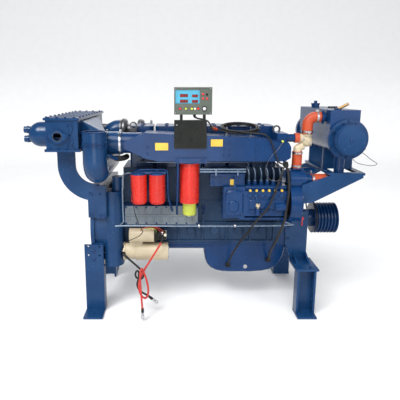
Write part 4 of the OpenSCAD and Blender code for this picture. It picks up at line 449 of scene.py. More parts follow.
class Piece:
    """One finished object, gathered from closed surfaces in millimetres."""

    def __init__(self, name: str, finish: Finish, body: str = "engine") -> None:
        """Start an empty piece.

        Args:
            name: Name of the object.
            finish: Its one finish.
            body: Frame body that it rides on.
        """
        self.name, self.finish, self.body = name, finish, body
        self.points: list[np.ndarray] = []
        self.faces: list[list[int]] = []
        self.count = 0

    def add(self, rings: np.ndarray, looped: bool = False) -> "Piece":
        """Skin rings of points: point j of ring i meets point j + 1 and the same two of ring i + 1.

        A looped skin closes on itself, another gets a fan at each end. Where the sum of the tetrahedra under
        the faces is negative, the skin is turned over, so faces point outwards.

        Args:
            rings: Rings of equal count, n by m by 3.
            looped: Whether the last ring meets the first.

        Returns:
            The piece itself.
        """
        n, m, _ = rings.shape
        flat = rings.reshape(-1, 3)
        grid = np.arange(n * m).reshape(n, m)
        if looped:
            grid = np.vstack([grid, grid[:1]])
        side = np.roll(grid, -1, axis=1)
        quads = np.stack([grid[:-1], side[:-1], side[1:], grid[1:]], -1).reshape(-1, 4)
        fans = np.empty((0, 3), int)
        if not looped:
            flat = np.vstack([flat, rings[0].mean(0), rings[-1].mean(0)])
            low = np.stack([side[0], grid[0], np.full(m, n * m)], -1)
            high = np.stack([grid[-1], side[-1], np.full(m, n * m + 1)], -1)
            fans = np.vstack([low, high])
        tris = np.vstack([quads[:, :3], quads[:, [0, 2, 3]], fans])
        a, b, c = (flat[tris[:, k]] - flat[0] for k in range(3))
        if np.einsum("ij,ij->i", a, np.cross(b, c)).sum() < 0:
            quads, fans = quads[:, ::-1], fans[:, ::-1]
        self.faces += (quads + self.count).tolist() + (fans + self.count).tolist()
        self.points.append(flat)
        self.count += len(flat)
        return self

    def ring(self, radius: float, thin: float, high: float, at: Vec, axis: Vec) -> "Piece":
        """Add a ring of a rounded rectangular section, closed both ways."""
        section = rounded_box(high, thin, min(thin, high) * 0.3, 3)
        return self.add(turned([(p[0], radius + p[1]) for p in section], at, axis, RING_SIDES), True)

    def plate(self, size: Vec, at: Vec, u: Vec, v: Vec, thick: float, edge: float = 0.6) -> "Piece":
        """Add a plate with round corners: size holds its two sides and its corner radius."""
        return self.add(slab(rounded_box(*size), at, u, v, thick, edge))

    def lathe(self, profile: Sequence[Vec], at: Vec, axis: Vec, sides: int = 40) -> "Piece":
        """Add a shape turned round an axis."""
        return self.add(turned(profile, at, axis, sides))

    def pipe(self, points: Sequence[Vec], steps: int, radius: float, sides: int) -> "Piece":
        """Add a pipe along a rounded route."""
        return self.add(tube(eased(points, steps), radius, sides))

    def bolts(self, heads: Iterable[Vec], axis: Vec, r: float = 7.0, high: float = 6.0) -> "Piece":
        """Add washers with six-sided heads that stand along an axis.

        Args:
            heads: Seat centres.
            axis: Way that the heads point.
            r: Radius over the corners.
            high: Height of a head.

        Returns:
            The piece itself.
        """
        for at in heads:
            self.lathe([(-1, r * 1.3), (0.9, r * 1.3), (1.2, r * 1.2)], at, axis, 20)
            self.lathe([(0, r), (high * 0.85, r), (high, r * 0.82)], at, axis, 6)
        return self

    def make(self) -> Thing:
        """Turn the gathered surfaces into an object that rides on its body.

        Returns:
            The object.
        """
        mesh = bpy.data.meshes.new(self.name)
        mesh.from_pydata((np.vstack(self.points) * MM).tolist(), [], self.faces)
        mesh.polygons.foreach_set("use_smooth", np.ones(len(mesh.polygons), bool))
        mesh.set_sharp_from_angle(angle=SHARP_ANGLE)
        mesh.materials.append(self.finish.material())
        mesh.update()
        piece = linked(self.name, mesh)
        log.info("piece %s", self.name)
        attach(piece, self.body)
        return piece


def free_cord(name: str, finish: Finish, path: np.ndarray, radius: float,
              pieces: Sequence[Thing] = (), ribs: float = 0.0) -> Thing:
    """Make a cable that follows a route.

    Args:
        name: Name of the object.
        finish: Its finish.
        path: Route in millimetres.
        radius: Radius of the cable.
        pieces: Separate pieces on it; not used.
        ribs: Height of the rings on its jacket.

    Returns:
        The object.
    """
    reach = reach_of(path)
    jacket = radius - ribs * (0.5 - 0.5 * np.cos(reach * 2 * np.pi / JACKET_PITCH))
    cord = Piece(name, finish).add(tube(path, jacket if ribs else radius, CORD_SIDES)).make()
    return cord


@dataclass
class Studio:
    """Camera at the photograph's place, pale floor that sweeps up, and soft lights."""

    camera_at: Point = (0.514, -2.686, 0.826)
    tilt_deg: float = 79.3
    lens: float = 37.8
    shift: Pair = (0.06, -0.0743)
    floor_z: float = -0.52
    grey: float = 0.86
    flat: tuple = (-7.0, -3.0, 0.0, 3.0)
    wide: float = 9.0
    sweep_at: float = 5.0
    sweep: float = 2.0
    high: float = 7.0
    aim: Point = (0.6, 0.0, 0.2)
    lamps: tuple = (
        ("key", (-1.6, -2.6, 3.4), 1.3, 96), ("fill", (2.9, -2.6, 1.4), 2.0, 38),
        ("front", (0.3, -4.2, 0.1), 2.0, 36), ("back", (0.6, 2.6, 2.6), 2.5, 45))
    room_tone: tuple = (0.93, 0.96, 1.0, 1)
    room_power: float = 0.27
    beyond: tuple = (0.92, 0.92, 0.92, 1)
    sun_power: float = 2.25
    sun_spread_deg: float = 40.0
    sun_turn_deg: Pair = (32, -14)

    def build(self) -> None:
        """Set the camera, the floor, the lights and the world."""
        eye = bpy.data.cameras.new("camera")
        eye.lens, eye.sensor_width = self.lens, 36.0
        eye.shift_x, eye.shift_y = self.shift
        camera = linked("camera", eye)
        camera.location = self.camera_at
        camera.rotation_euler = (np.radians(self.tilt_deg), 0, 0)
        bpy.context.scene.camera = camera
        bpy.context.scene.view_settings.view_transform = "Standard"
        self._floor()
        self._world()
        for lamp in self.lamps:
            self._light(*lamp)
        self._sky_light()

    def _floor(self) -> None:
        """Lay a floor that runs flat along y, then sweeps up by a quarter turn and stands upright."""
        a = np.linspace(0, np.pi / 2, 16)
        r = self.sweep
        y = np.concatenate([self.flat, self.sweep_at + r * np.sin(a), [self.sweep_at + r]])
        z = np.concatenate([np.zeros(len(self.flat)), r - r * np.cos(a), [self.high]]) + self.floor_z
        x = np.linspace(-self.wide, self.wide, 7)
        gx, gy = np.meshgrid(x, y)
        points = np.stack([gx, gy, np.broadcast_to(z[:, None], gx.shape)], -1)
        grid = np.arange(gx.size).reshape(gx.shape)
        quads = np.stack([grid[:-1, :-1], grid[:-1, 1:], grid[1:, 1:], grid[1:, :-1]], -1).reshape(-1, 4)
        mesh = bpy.data.meshes.new("floor")
        mesh.from_pydata(points.reshape(-1, 3).tolist(), [], quads.tolist())
        mesh.polygons.foreach_set("use_smooth", np.ones(len(mesh.polygons), bool))
        tone = (self.grey, self.grey, self.grey)
        other = tuple(0.985 * t for t in tone)
        cloth = Finish("pale floor", Slot.CREAM, tone, other, (0.8, 0.9), relief=0.02, dust=0.0)
        mesh.materials.append(cloth.material())
        linked("floor", mesh)

    def _world(self) -> None:
        """Soft light all round, and plain white where the camera looks past the floor."""
        world = bpy.data.worlds.new("room")
        bpy.context.scene.world = world
        world.use_nodes = True
        tree = world.node_tree
        soft = put(tree.nodes["Background"], {0: self.room_tone, 1: self.room_power})
        plain = put(tree.nodes.new("ShaderNodeBackground"), {0: self.beyond})
        path = tree.nodes.new("ShaderNodeLightPath")
        mix = tree.nodes.new("ShaderNodeMixShader")
        link = tree.links.new
        for k, source in enumerate((path.outputs["Is Camera Ray"], soft.outputs[0], plain.outputs[0])):
            link(source, mix.inputs[k])
        link(mix.outputs[0], tree.nodes["World Output"].inputs[0])

    def _sky_light(self) -> None:
        """Add one wide, even light from above the camera, so the floor is pale all over."""
        lamp = bpy.data.lights.new("sky", "SUN")
        lamp.angle, lamp.energy = np.radians(self.sun_spread_deg), self.sun_power
        linked("sky", lamp).rotation_euler = (*np.radians(self.sun_turn_deg), 0)

    def _light(self, name: str, at: Vec, size: float, power: float) -> None:
        """Hang a square soft light that faces the engine's middle.

        Args:
            name: Name of the light.
            at: Where it hangs.
            size: Its side in metres.
            power: Its power in watts.
        """
        lamp = bpy.data.lights.new(name, "AREA")
        lamp.size, lamp.energy = size, power
        u, v, w = basis(np.array(at, float) - np.array(self.aim))
        turn = np.eye(4)
        turn[:3, 0], turn[:3, 1], turn[:3, 2], turn[:3, 3] = u, v, w, at
        linked(name, lamp).matrix_world = Matrix(turn.tolist())


@dataclass
class BatteryCables:
    """Red and black battery cables that hang from the starter, each with a ring lug."""

    radius: float = 6.0
    red_way: Point = (0, 0, -1)
    black_way: Point = (0.788, 0, -0.616)
    barrel: tuple = ((2, 1.05), (4, 1.3), (20, 1.3), (25, 1.1), (28, 0.7))
    eye_reach: float = 36
    neck: tuple = ((22, 9, 9), (26, 13, 5), (30, 15, 2.4))
    sleeve: tuple = ((-22, 1.02), (-21, 1.4), (3, 1.42), (4, 1.3))
    boot_points: int = 9
    red_route: tuple = (
        (434, -255, -44), (433, -265, -47), (424, -276, -74), (390, -290, -130), (350, -306, -190),
        (318, -320, -240), (296, -330, -290), (292, -338, -340), (306, -346, -382), (330, -352, -396),
        (346, -356, -370), (348, -360, -324), (338, -360, -270), (322, -356, -226), (312, -360, -206),
        (304, -372, -226), (304, -380, -280), (308, -386, -340), (312, -392, -400), (316, -396, -460))
    black_route: tuple = (
        (196, -261, -150), (197, -272, -152), (226, -284, -174), (262, -286, -206), (300, -286, -244),
        (316, -284, -276), (304, -278, -304), (280, -272, -308), (264, -266, -290), (270, -260, -266),
        (284, -258, -270), (284, -264, -306), (276, -280, -346), (294, -290, -380), (340, -294, -408),
        (366, -296, -428))

    def build(self) -> None:
        """Make both cables and let them stand for the frame's own."""
        self._cable("red_cable", CABLE_RED, eased(self.red_route, 4), self.red_way, Y)
        self._cable("black_cable", RUBBER, eased(self.black_route, 4), self.black_way, Y)

    def _cable(self, node: str, finish: Finish, path: np.ndarray, axis: Vec, flat: Vec) -> None:
        """Make one cable with its sleeve and lug.

        Args:
            node: Frame node that it stands for.
            finish: Finish of its jacket.
            path: Route in millimetres.
            axis: Way that the lug points.
            flat: Way that the lug's eye faces.
        """
        end, r = path[-1], self.radius
        w, n = unit(np.array(axis, float)), np.array(flat, float)
        s = np.cross(n, w)
        lug = Piece(node.replace("cable", "lug"), STEEL)
        lug.lathe([(a, r * b) for a, b in self.barrel], end, w, 24)
        lug.ring(r * 1.4, r, 2.6, end + self.eye_reach * w, n)
        neck = rounded_box(1, 1, 0.3, 4)
        lug.add(np.stack([end + z * w + neck[:, :1] * a * s + neck[:, 1:] * b * n
                          for z, a, b in self.neck]))
        sleeve = Piece(node.replace("cable", "sleeve"), RUBBER)
        sleeve.lathe([(a, r * b) for a, b in self.sleeve], end, w, 24)
        boot = Piece(node.replace("cable", "boot"), RUBBER)
        start = path[:self.boot_points]
        share = np.linspace(0, 1, len(start))
        boot.add(tube(start, r * (1.9 - 0.8 * share) + 0.5 * np.cos(share * 30), 20))
        extras = [lug.make(), sleeve.make(), boot.make()]
        cord = free_cord(f"{node}_jacket", finish, path, r, pieces=extras)
        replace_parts(cord, node)


@dataclass
class InstrumentCable:
    """Cable from the panel: a lead, four piled turns and the run down to the loom."""

    radius: float = 4.5
    centre: Point = (893, -200, 607)
    width: float = 232
    height: float = 198
    lean_deg: float = 12
    start_deg: float = 235
    turns: int = 4
    connector: int = 11
    lead_in: tuple = (
        (619, -296, 695), (620, -296, 682), (640, -296, 672), (668, -296, 668), (696, -296, 656),
        (710, -294, 634), (724, -284, 618), (748, -266, 608), (776, -257, 600), (802, -265, 594))
    lead_out: tuple = (
        (860, -300, 602), (905, -312, 594), (955, -318, 590), (1002, -330, 588), (1030, -342, 572),
        (1048, -343, 545), (1070, -343, 491), (1086, -344, 446), (1104, -346, 424), (1123, -346, 420))

    def coil(self) -> np.ndarray:
        """Route of the turns: ovals that shrink towards the middle turn and climb onto it, leaned back.

        Returns:
            The route, 24 points to a turn.
        """
        s = np.linspace(0, self.turns, 24 * self.turns + 1)
        depth = (2 * self.radius + 2) * np.minimum(s, self.turns - s)
        a = np.radians(self.start_deg + 360 * s)
        t = np.clip(2 * (s - self.turns / 2) + 0.5, 0, 1)
        rise = (2 * self.radius + 1) * t * t * (3 - 2 * t)
        v = (self.height / 2 - depth) * np.sin(a)
        cos, sin = np.cos(np.radians(self.lean_deg)), np.sin(np.radians(self.lean_deg))
        return np.array(self.centre) + np.stack(
            [(self.width / 2 - depth) * np.cos(a), v * cos - rise * sin, v * sin + rise * cos], 1)

    def build(self) -> None:
        """Make the cable and its in-line connector."""
        path = np.vstack([eased(self.lead_in, 2), self.coil(), eased(self.lead_out, 2)])
        plug = Piece("cable_connector", BRASS)
        seat = path[self.connector:self.connector + 3]
        plug.add(tube(seat, self.radius * np.array([1.5, 2.0, 1.6]), 20))
        grip = path[self.connector + 1:self.connector + 4]
        nut = Piece("cable_connector_nut", ORANGE).add(tube(grip, self.radius * 2.15, 8))
        boot = Piece("panel_cable_boot", RUBBER)
        boot.add(tube(path[:4], self.radius * np.array([2.2, 1.9, 1.5, 1.15]), 20))
        cord = free_cord("instrument_cable", RUBBER, path, self.radius,
                         pieces=[plug.make(), nut.make(), boot.make()])
        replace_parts(cord, "instrument_coil")


@dataclass
class Loom:
    """Engine loom: junction block, ringed trunk and thin leads down to the pan."""

    trunk: tuple = (
        (1137, -348, 404), (1148, -349, 380), (1157, -350, 320), (1159, -351, 235), (1150, -354, 160),
        (1140, -355, 90), (1118, -346, 10), (1104, -296, -70), (1100, -220, -150), (1102, -172, -215),
        (1104, -150, -235))
    lead: tuple = (
        (1125, -350, 404), (1108, -350, 330), (1078, -350, 240), (1040, -362, 160), (972, -362, 78),
        (940, -350, 20), (900, -300, -60), (862, -220, -180), (850, -160, -260), (850, -148, -270))
    ring_lead: tuple = (
        (1112, -334, 548), (1110, -348, 541), (1083, -354, 503), (1043, -354, 456), (1022, -352, 400),
        (1028, -350, 356), (1050, -348, 330), (1079, -348, 321), (1106, -348, 332), (1116, -352, 370),
        (1128, -354, 404))
    lead_gap: float = 7.2
    trunk_radius: float = 8
    trunk_rib: float = 0.6
    lead_radius: float = 3
    ring_lead_radius: float = 1.5
    block_at: Point = (1135.5, -338.5, 404)
    lid_at: Point = (1135.5, -357, 414)
    trunk_plug: Pair = (1104, -239)
    lead_plug: Pair = (847, -274)
    pan_face: float = -136

    def build(self) -> None:
        """Make the block, the plugs and the cables."""
        block = Piece("loom_block", BLACK)
        block.plate((23, 35, 4), self.block_at, X, Y, 28, 1.5)
        block.plate((24, 18, 3), self.lid_at, X, Z, 3, 0.8)
        plugs = [self._plug("trunk_plug", *self.trunk_plug), self._plug("lead_plug", *self.lead_plug)]
        extras = [block.make(), plugs[0]]
        cord = free_cord("loom_trunk", RUBBER, eased(self.trunk, 60), self.trunk_radius, pieces=extras,
                         ribs=self.trunk_rib)
        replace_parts(cord, "harness")
        for k in (0, 1):
            path = eased(self.lead, 4) - (self.lead_gap * k, 0, 0)
            free_cord(f"loom_lead_{k + 1}", RUBBER, path, self.lead_radius, pieces=plugs[1:] if k == 0 else ())
        tip = Piece("sensor_plug", B_GREEN).lathe([(-6, 5), (0, 6.5), (14, 6.5), (16, 5)], self.ring_lead[0], NEAR)
        free_cord("sensor_lead", DARK, eased(self.ring_lead, 4), self.ring_lead_radius, pieces=[tip.make()])

    def _plug(self, name: str, x: float, z: float) -> Thing:
        """Make a plug on the side of the pan."""
        plug = Piece(name, BLACK).plate((32, 24, 4), (x, self.pan_face, z), X, Z, 14, 1.5)
        return plug.ring(9, 3, 3, (x, self.pan_face - 15, z + 4), Y).make()


@dataclass
class CoolingUnit:
    """Charge cooler over the flywheel end: bolts, ribs, water opening and stub beads."""

    left: float = -212.4
    right: float = -30.4
    near: float = -351.0
    far: float = 429.0
    low: float = 503.7
    top: float = 679.7
    inset: Pair = (20, 40)
    overhang: float = 4
    water: Pair = (-145.1, 577.1)
    water_face: float = -369
    water_bolt: float = 55
    end_bolt_x: Pair = (-88, -66)
    end_bolt_z: Pair = (528, 640)
    end_bolt_face: float = -356
    stub: Pair = (-249.6, 579)
    stub_face: float = -270
    stub_rise: float = 26.7
    rib_rows: tuple = (520, 650, 6)
    middle: float = 39

    def build(self) -> None:
        """Dress the box."""
        wx, wz = self.water
        sy, sz = self.stub
        inset_x, inset_y = self.inset
        across = np.linspace(self.left + inset_x, self.right - inset_x, 4)
        along = np.linspace(self.near + inset_y, self.far - inset_y, 9)
        ys = (self.near - self.overhang, self.far + self.overhang)
        xs = (self.left - self.overhang, self.right + self.overhang)
        bolts = Piece("cooler_bolts", PAINT)
        for z in (self.top, self.low):
            bolts.bolts([(x, y, z) for x in across for y in ys], Z, 6, 6)
            bolts.bolts([(x, y, z) for y in along for x in xs], Z, 6, 6)
        bolts.bolts([(wx + s * self.water_bolt, self.water_face, wz) for s in (-1, 1)], NEAR, 7.5, 7)
        ends = [(x, self.end_bolt_face, z) for x in self.end_bolt_x for z in self.end_bolt_z]
        bolts.bolts(ends, NEAR, 5, 5).make()
        ribs = Piece("cooler_ribs", PALE)
        ribs.plate((24, 160, 3), (-43, self.near + 1, 584.7), X, Z, 6, 1.2)
        for s in (-1, 1):
            way = unit(np.array((s * 0.36, 0, 1.0)))
            ribs.plate((9, 132, 3), (-77, self.near + 1, 584), np.cross(Y, way), way, 5, 1.2)
        for z in np.linspace(*self.rib_rows):
            ribs.plate((700, 7, 3), (self.left, self.middle, z), NEAR, Z, 4, 1)
            ribs.plate((700, 7, 3), (self.right, self.middle, z), Y, Z, 4, 1)
        ribs.make()
        Piece("cooler_water_opening", DARK).ring(25, 3, 3, (wx, self.water_face - 0.5, wz), Y).make()
        beads = Piece("cooler_stub_beads", DARK)
        for s in (-1, 1):
            beads.ring(19.6, 3, 6, (self.stub_face, sy, sz + s * self.stub_rise), X)
        beads.ring(72.5, 4, 6, (self.left - 3, sy, sz), X).make()


@dataclass
class AirPath:
    """Air pipe elbow with its rolled mouth, breather pipe, dark ribbed hose and clamp screws."""

    mouth: Point = (62.7, -374.4, 605.6)
    radius: float = 67.0
    beads: Pair = (544.6, 528.2)
    breather: tuple = ((120, -352, 470), (134, -342, 468), (150, -322, 455), (164, -300, 446), (178, -286, 442))
    hose: tuple = (
        (172, -290, 443), (186, -272, 440), (200, -246, 438), (208, -214, 436), (212, -180, 434), (214, -156, 434))
    hose_radius: float = 15.0
    rib_height: float = 1.6
    rib_pitch: float = 8.0
    breather_radius: float = 11
    clamps: Pair = (116, 188)
    clamp_y: float = -300
    clamp_z: float = 586

    def build(self) -> None:
        """Make the lip with its beads, the breather and the clamp screws."""
        x, y, z = self.mouth
        lip = Piece("air_mouth_lip", PAINT).ring(self.radius - 2, 8, 8, (x, y, z - 2), Z)
        for bead in self.beads:
            lip.ring(self.radius + 1, 7, 8, (x, y, bead), Z)
        lip.make()
        pipe = Piece("breather_pipe", PALE).pipe(self.breather, 6, self.breather_radius, 24)
        pipe.ring(self.breather_radius + 1.5, 3, 4, self.breather[3], (14, 14, -4)).make()
        hose = eased(self.hose, 24)
        jacket = self.hose_radius + self.rib_height * np.cos(reach_of(hose) * 2 * np.pi / self.rib_pitch)
        Piece("breather_hose", RUBBER).add(tube(hose, jacket, 24)).make()
        screws = Piece("hose_clamp_screws", PIPE)
        for cx in self.clamps:
            screws.plate((14, 16, 3), (cx, self.clamp_y, self.clamp_z), X, Y, 9, 1)
            at = (cx, self.clamp_y, self.clamp_z + 5)
            screws.lathe([(-22, 3), (14, 3), (14.5, 5.5), (20, 5.5), (21, 4)], at, NEAR, 24)
        screws.make()


@dataclass
class Block:
    """Cast block: plug cups, ribs, oil cooler cover, cover and flange bolts, and pipe clips."""

    skirt: float = 146.0
    rib_after: float = 75
    rib_apart: float = 38
    rib_z: float = -48
    rails: Pair = (14, -108)
    rail_x: float = 675
    cup: tuple = ((0, 25), (3, 25), (4, 23), (2.5, 19), (2.5, 2))
    cup_z: float = -40
    cover_x: float = 425.5
    cover_z: float = 84.0
    cover_base: float = -228.7
    cover_face: float = -231
    cover_ribs: tuple = (232, 620, 9)
    cover_bolts: tuple = (212, 639, 8)
    cover_bolt_y: float = -229.7
    cover_bolt_z: Pair = (34, 134)
    flange_rows: tuple = ((205, 680, 11), (700, 1225, 12))
    flange_y: float = 141
    flange_z: float = -134
    clip_x: Pair = (650, 860)
    clip_y: float = -322.4
    clip_z: float = 48

    def build(self) -> None:
        """Dress the long sides."""
        ribs = Piece("block_ribs", GREY)
        plugs = Piece("core_plug_cups", GREY)
        for u, y in ((X, 1 - self.skirt), (BACK_X, self.skirt - 1)):
            for x in np.array(CYLINDERS) + self.rib_after:
                ribs.plate((12, 118, 4), (x, y, self.rib_z), u, Z, 15, 3)
                ribs.plate((8, 118, 3), (x - self.rib_apart, y, self.rib_z), u, Z, 11, 2)
            for z in self.rails:
                ribs.plate((955, 11, 4), (self.rail_x, y, z), u, Z, 13, 3)
        for x in CYLINDERS:
            plugs.lathe(self.cup, (x, -self.skirt - 8, self.cup_z), NEAR)
        ribs.make()
        plugs.make()
        cover = Piece("oil_cooler_cover_ribs", BARE_CAST)
        cover.plate((440, 116, 10), (self.cover_x, self.cover_base, self.cover_z), X, Z, 3.5, 1.2)
        for x in np.linspace(*self.cover_ribs):
            cover.plate((8, 88, 3), (x, self.cover_face, self.cover_z), X, Z, 6, 1.8)
        cover.plate((428, 10, 4), (self.cover_x, self.cover_face, self.cover_z), X, Z, 8, 2).make()
        bolts = Piece("block_bolts", PAINT)
        heads = [(x, self.cover_bolt_y, z) for x in np.linspace(*self.cover_bolts) for z in self.cover_bolt_z]
        bolts.bolts(heads, NEAR, 6, 5)
        for row in self.flange_rows:
            heads = [(x, s * self.flange_y, self.flange_z) for x in np.linspace(*row) for s in (-1, 1)]
            bolts.bolts(heads, DOWN, 4.5, 5)
        bolts.make()
        clips = Piece("skirt_pipe_clips", STEEL)
        for x in self.clip_x:
            clips.ring(8.5, 2.5, 10, (x, self.clip_y, self.clip_z), X)
        clips.make()


@dataclass
class Pan:
    """Oil pan: open flange, shallow trough, and a deep sump whose lower corners are round."""

    half: float = 136.0
    top: float = -134.0
    corner: float = 34.0
    draft: float = 0.06
    corner_steps: int = 7
    flange: tuple = ((1046, 292, 8), (998, 244, 8))
    flange_thick: float = 13.6
    middle: float = 713
    trough: Point = (1030, 268, 22)
    trough_low: float = -167
    trough_thick: float = 36
    drain: Pair = (960, -288)
    sump: tuple = (
        (692, -134), (694, -190), (700, -236), (712, -272), (734, -298), (766, -315), (806, -324), (860, -327),
        (1000, -327), (1070, -322), (1120, -310), (1158, -288), (1186, -256), (1204, -216), (1214, -172), (1218, -134))

    def build(self) -> None:
        """Make the pan and let it stand for the frame's own.

        A ring of the sump is its side outline at one place y. Towards each side y runs out by the corner's
        radius times sin a, while the outline shrinks about its middle by the draft times 1 - cos a.
        """
        pan = Piece("oil_pan_casting", PAINT)
        outer, inner = (rounded_box(*size) for size in self.flange)
        pan.add(rim(outer, inner, (self.middle, 0, self.top), X, Y, self.flange_thick), True)
        pan.plate(self.trough, (self.middle, 0, self.trough_low), X, Y, self.trough_thick, 9)
        edge = np.array(self.sump, float)
        low = edge.mean(0) + (0, 60)
        a = np.linspace(0, np.pi / 2, self.corner_steps)[::-1]
        near = -self.half + self.corner * (1 - np.sin(a))
        scale = 1 - (self.draft - np.cos(a) * self.draft)
        y = np.concatenate([near, -near[::-1]])[:, None]
        flat = low + (edge - low) * np.concatenate([scale, scale[::-1]])[:, None, None]
        rings = [flat[..., 0], np.broadcast_to(y, flat.shape[:2]), np.minimum(flat[..., 1], self.top)]
        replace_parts(pan.add(np.stack(rings, -1)).make(), "oil_pan")
        x, z = self.drain
        Piece("pan_drain_plug", STEEL).bolts([(x, -self.half, z)], NEAR, 10, 8).make()


@dataclass
class Heads:
    """Cylinder heads and rocker covers: bolts, gaskets and cover nuts."""

    bolt_x: Pair = (-52, 52)
    bolt_y: float = 120
    head_top: float = 484
    gasket: tuple = ((144, 214, 9), (134, 204, 7))
    gasket_z: float = 483
    nut_y: float = 52
    cover_top: float = 614

    def build(self) -> None:
        """Dress the top of the engine."""
        bolts = Piece("head_bolts", PAINT)
        seats = [(x + a, s * self.bolt_y, self.head_top) for x in CYLINDERS for a in self.bolt_x for s in (-1, 1)]
        bolts.bolts(seats, Z, 9, 8).make()
        gaskets = Piece("rocker_cover_gaskets", BLACK)
        outer, inner = (rounded_box(*size) for size in self.gasket)
        for x in CYLINDERS:
            gaskets.add(rim(outer, inner, (x, 0, self.gasket_z), X, Y, 4), True)
        gaskets.make()
        nuts = [(x, s * self.nut_y, self.cover_top) for x in CYLINDERS for s in (-1, 1)]
        Piece("rocker_cover_nuts", STEEL).bolts(nuts, Z, 7, 6).make()


@dataclass
class Manifold:
    """Intake manifold front: joint bolts and three blank yellow plates."""

    front: float = -332.0
    seam_x: Pair = (787, 815)
    seam_z: Point = (470, 505, 540)
    last_seam: Pair = (967, 500)
    end_x: float = 352
    end_z: Pair = (478, 512)
    plates: tuple = (
        ((74, 42, 3), (433, -331.5, 517)), ((68, 40, 3), (744, -331.5, 538)), ((30, 34, 2), (843, -300.5, 305)))

    def build(self) -> None:
        """Dress the front face."""
        bolts = Piece("manifold_bolts", PAINT)
        seams = [(x, z) for x in self.seam_x for z in self.seam_z] + [self.last_seam]
        bolts.bolts([(x, self.front - 3.5, z) for x, z in seams], NEAR, 5, 5)
        bolts.bolts([(self.end_x, self.front, z) for z in self.end_z], NEAR, 6, 5).make()
        plates = Piece("blank_plates", PLATE)
        for size, at in self.plates:
            plates.plate(size, at, X, Z, 2, 0.4)
        plates.make()


@dataclass
class Panel:
    """Instrument panel: bezel, cyan face, four dark windows with red digits, lamps and key ring."""

    centre: Pair = (608.5, 771.5)
    front: float = -340.0
    windows: tuple = ((557.7, 800.7, 44, 17), (618.8, 799, 33, 15), (557.7, 770.2, 44, 17), (618.8, 769.4, 33, 16))
    buttons: tuple = (536, 568.6, 601.2, 619, 636.9)
    row: float = 729.5
    bezel: tuple = ((209, 149, 9), (197, 137, 6))
    face: Point = (137, 73, 3)
    face_at: Pair = (576.9, 794)
    red_lamps: tuple = ((663, 808), (663, 785), (685, 784))
    dark_lamps: tuple = ((684.5, 806),)
    key_x: float = 671.5
    screw: Pair = (98, 68)
    bracket_bolts: tuple = ((538, 596), (665, 590), (600, 560))
    bar: float = 1.3

    def build(self) -> None:
        """Dress the panel's face and its bracket."""
        x, z = self.centre
        bezel = Piece("panel_bezel", PANEL)
        outer, inner = (rounded_box(*size) for size in self.bezel)
        bezel.add(rim(outer, inner, (x, self.front, z), X, Z, 3), True).make()
        fx, fz = self.face_at
        Piece("panel_face", SCREEN).plate(self.face, (fx, self.front + 4.4, fz), X, Z, 1.5, 0.4).make()
        glass = Piece("panel_windows", BLACK)
        bars = Piece("panel_digits", DIGIT)
        for wx, wz, w, h in self.windows:
            glass.plate((w, h, 2), (wx, self.front + 3.2, wz), X, Z, 1.5, 0.4)
            count = 4 if w > 40 else 3
            for k in range(count):
                self._digit(bars, wx - w / 2 + (k + 0.5) * w / count, wz, w / count * 0.5, h * 0.66, k)
        glass.make()
        bars.make()
        for name, finish, spots in (("panel_lamps_red", B_RED, self.red_lamps),
                                    ("panel_lamp_dark", BLACK, self.dark_lamps)):
            lamps = Piece(name, finish)
            for lx, lz in spots:
                lamps.lathe([(0, 6.5), (2, 6.3), (4, 4.5), (5, 1.5)], (lx, self.front, lz), NEAR, 32)
            lamps.make()
        rings = Piece("panel_rings", BLACK)
        rings.ring(12.5, 5, 3, (self.key_x, self.front - 1, self.row), Y)
        for bx in self.buttons:
            rings.ring(8, 1.8, 2, (bx, self.front - 0.8, self.row), Y)
        rings.make()
        wide, high = self.screw
        corners = [(x + a * wide, self.front, z + b * high) for a in (-1, 1) for b in (-1, 1)]
        Piece("panel_screws", STEEL).bolts(corners, NEAR, 3.4, 3).make()
        holes = [(bx, self.front, bz) for bx, bz in self.bracket_bolts]
        Piece("bracket_bolts", BLACK).bolts(holes, NEAR, 7, 6).make()

    def _digit(self, piece: Piece, x: float, z: float, w: float, h: float, which: int) -> None:
        """Lay the bars of a generic digit.

        Args:
            piece: Piece that gets the bars.
            x: Middle of the digit.
            z: Its middle height.
            w: Its width.
            h: Its height.
            which: Its place in the window, for 0, 8, 3 or 5.
        """
        for bar in DIGITS[which].split():
            dx, dz, flat = BARS[bar]
            size = (w, self.bar, 0.5, 3) if flat else (self.bar, h / 2, 0.5, 3)
            piece.plate(size, (x + dx * w, self.front + 1.9, z + dz * h), X, Z, 0.8, 0.2)


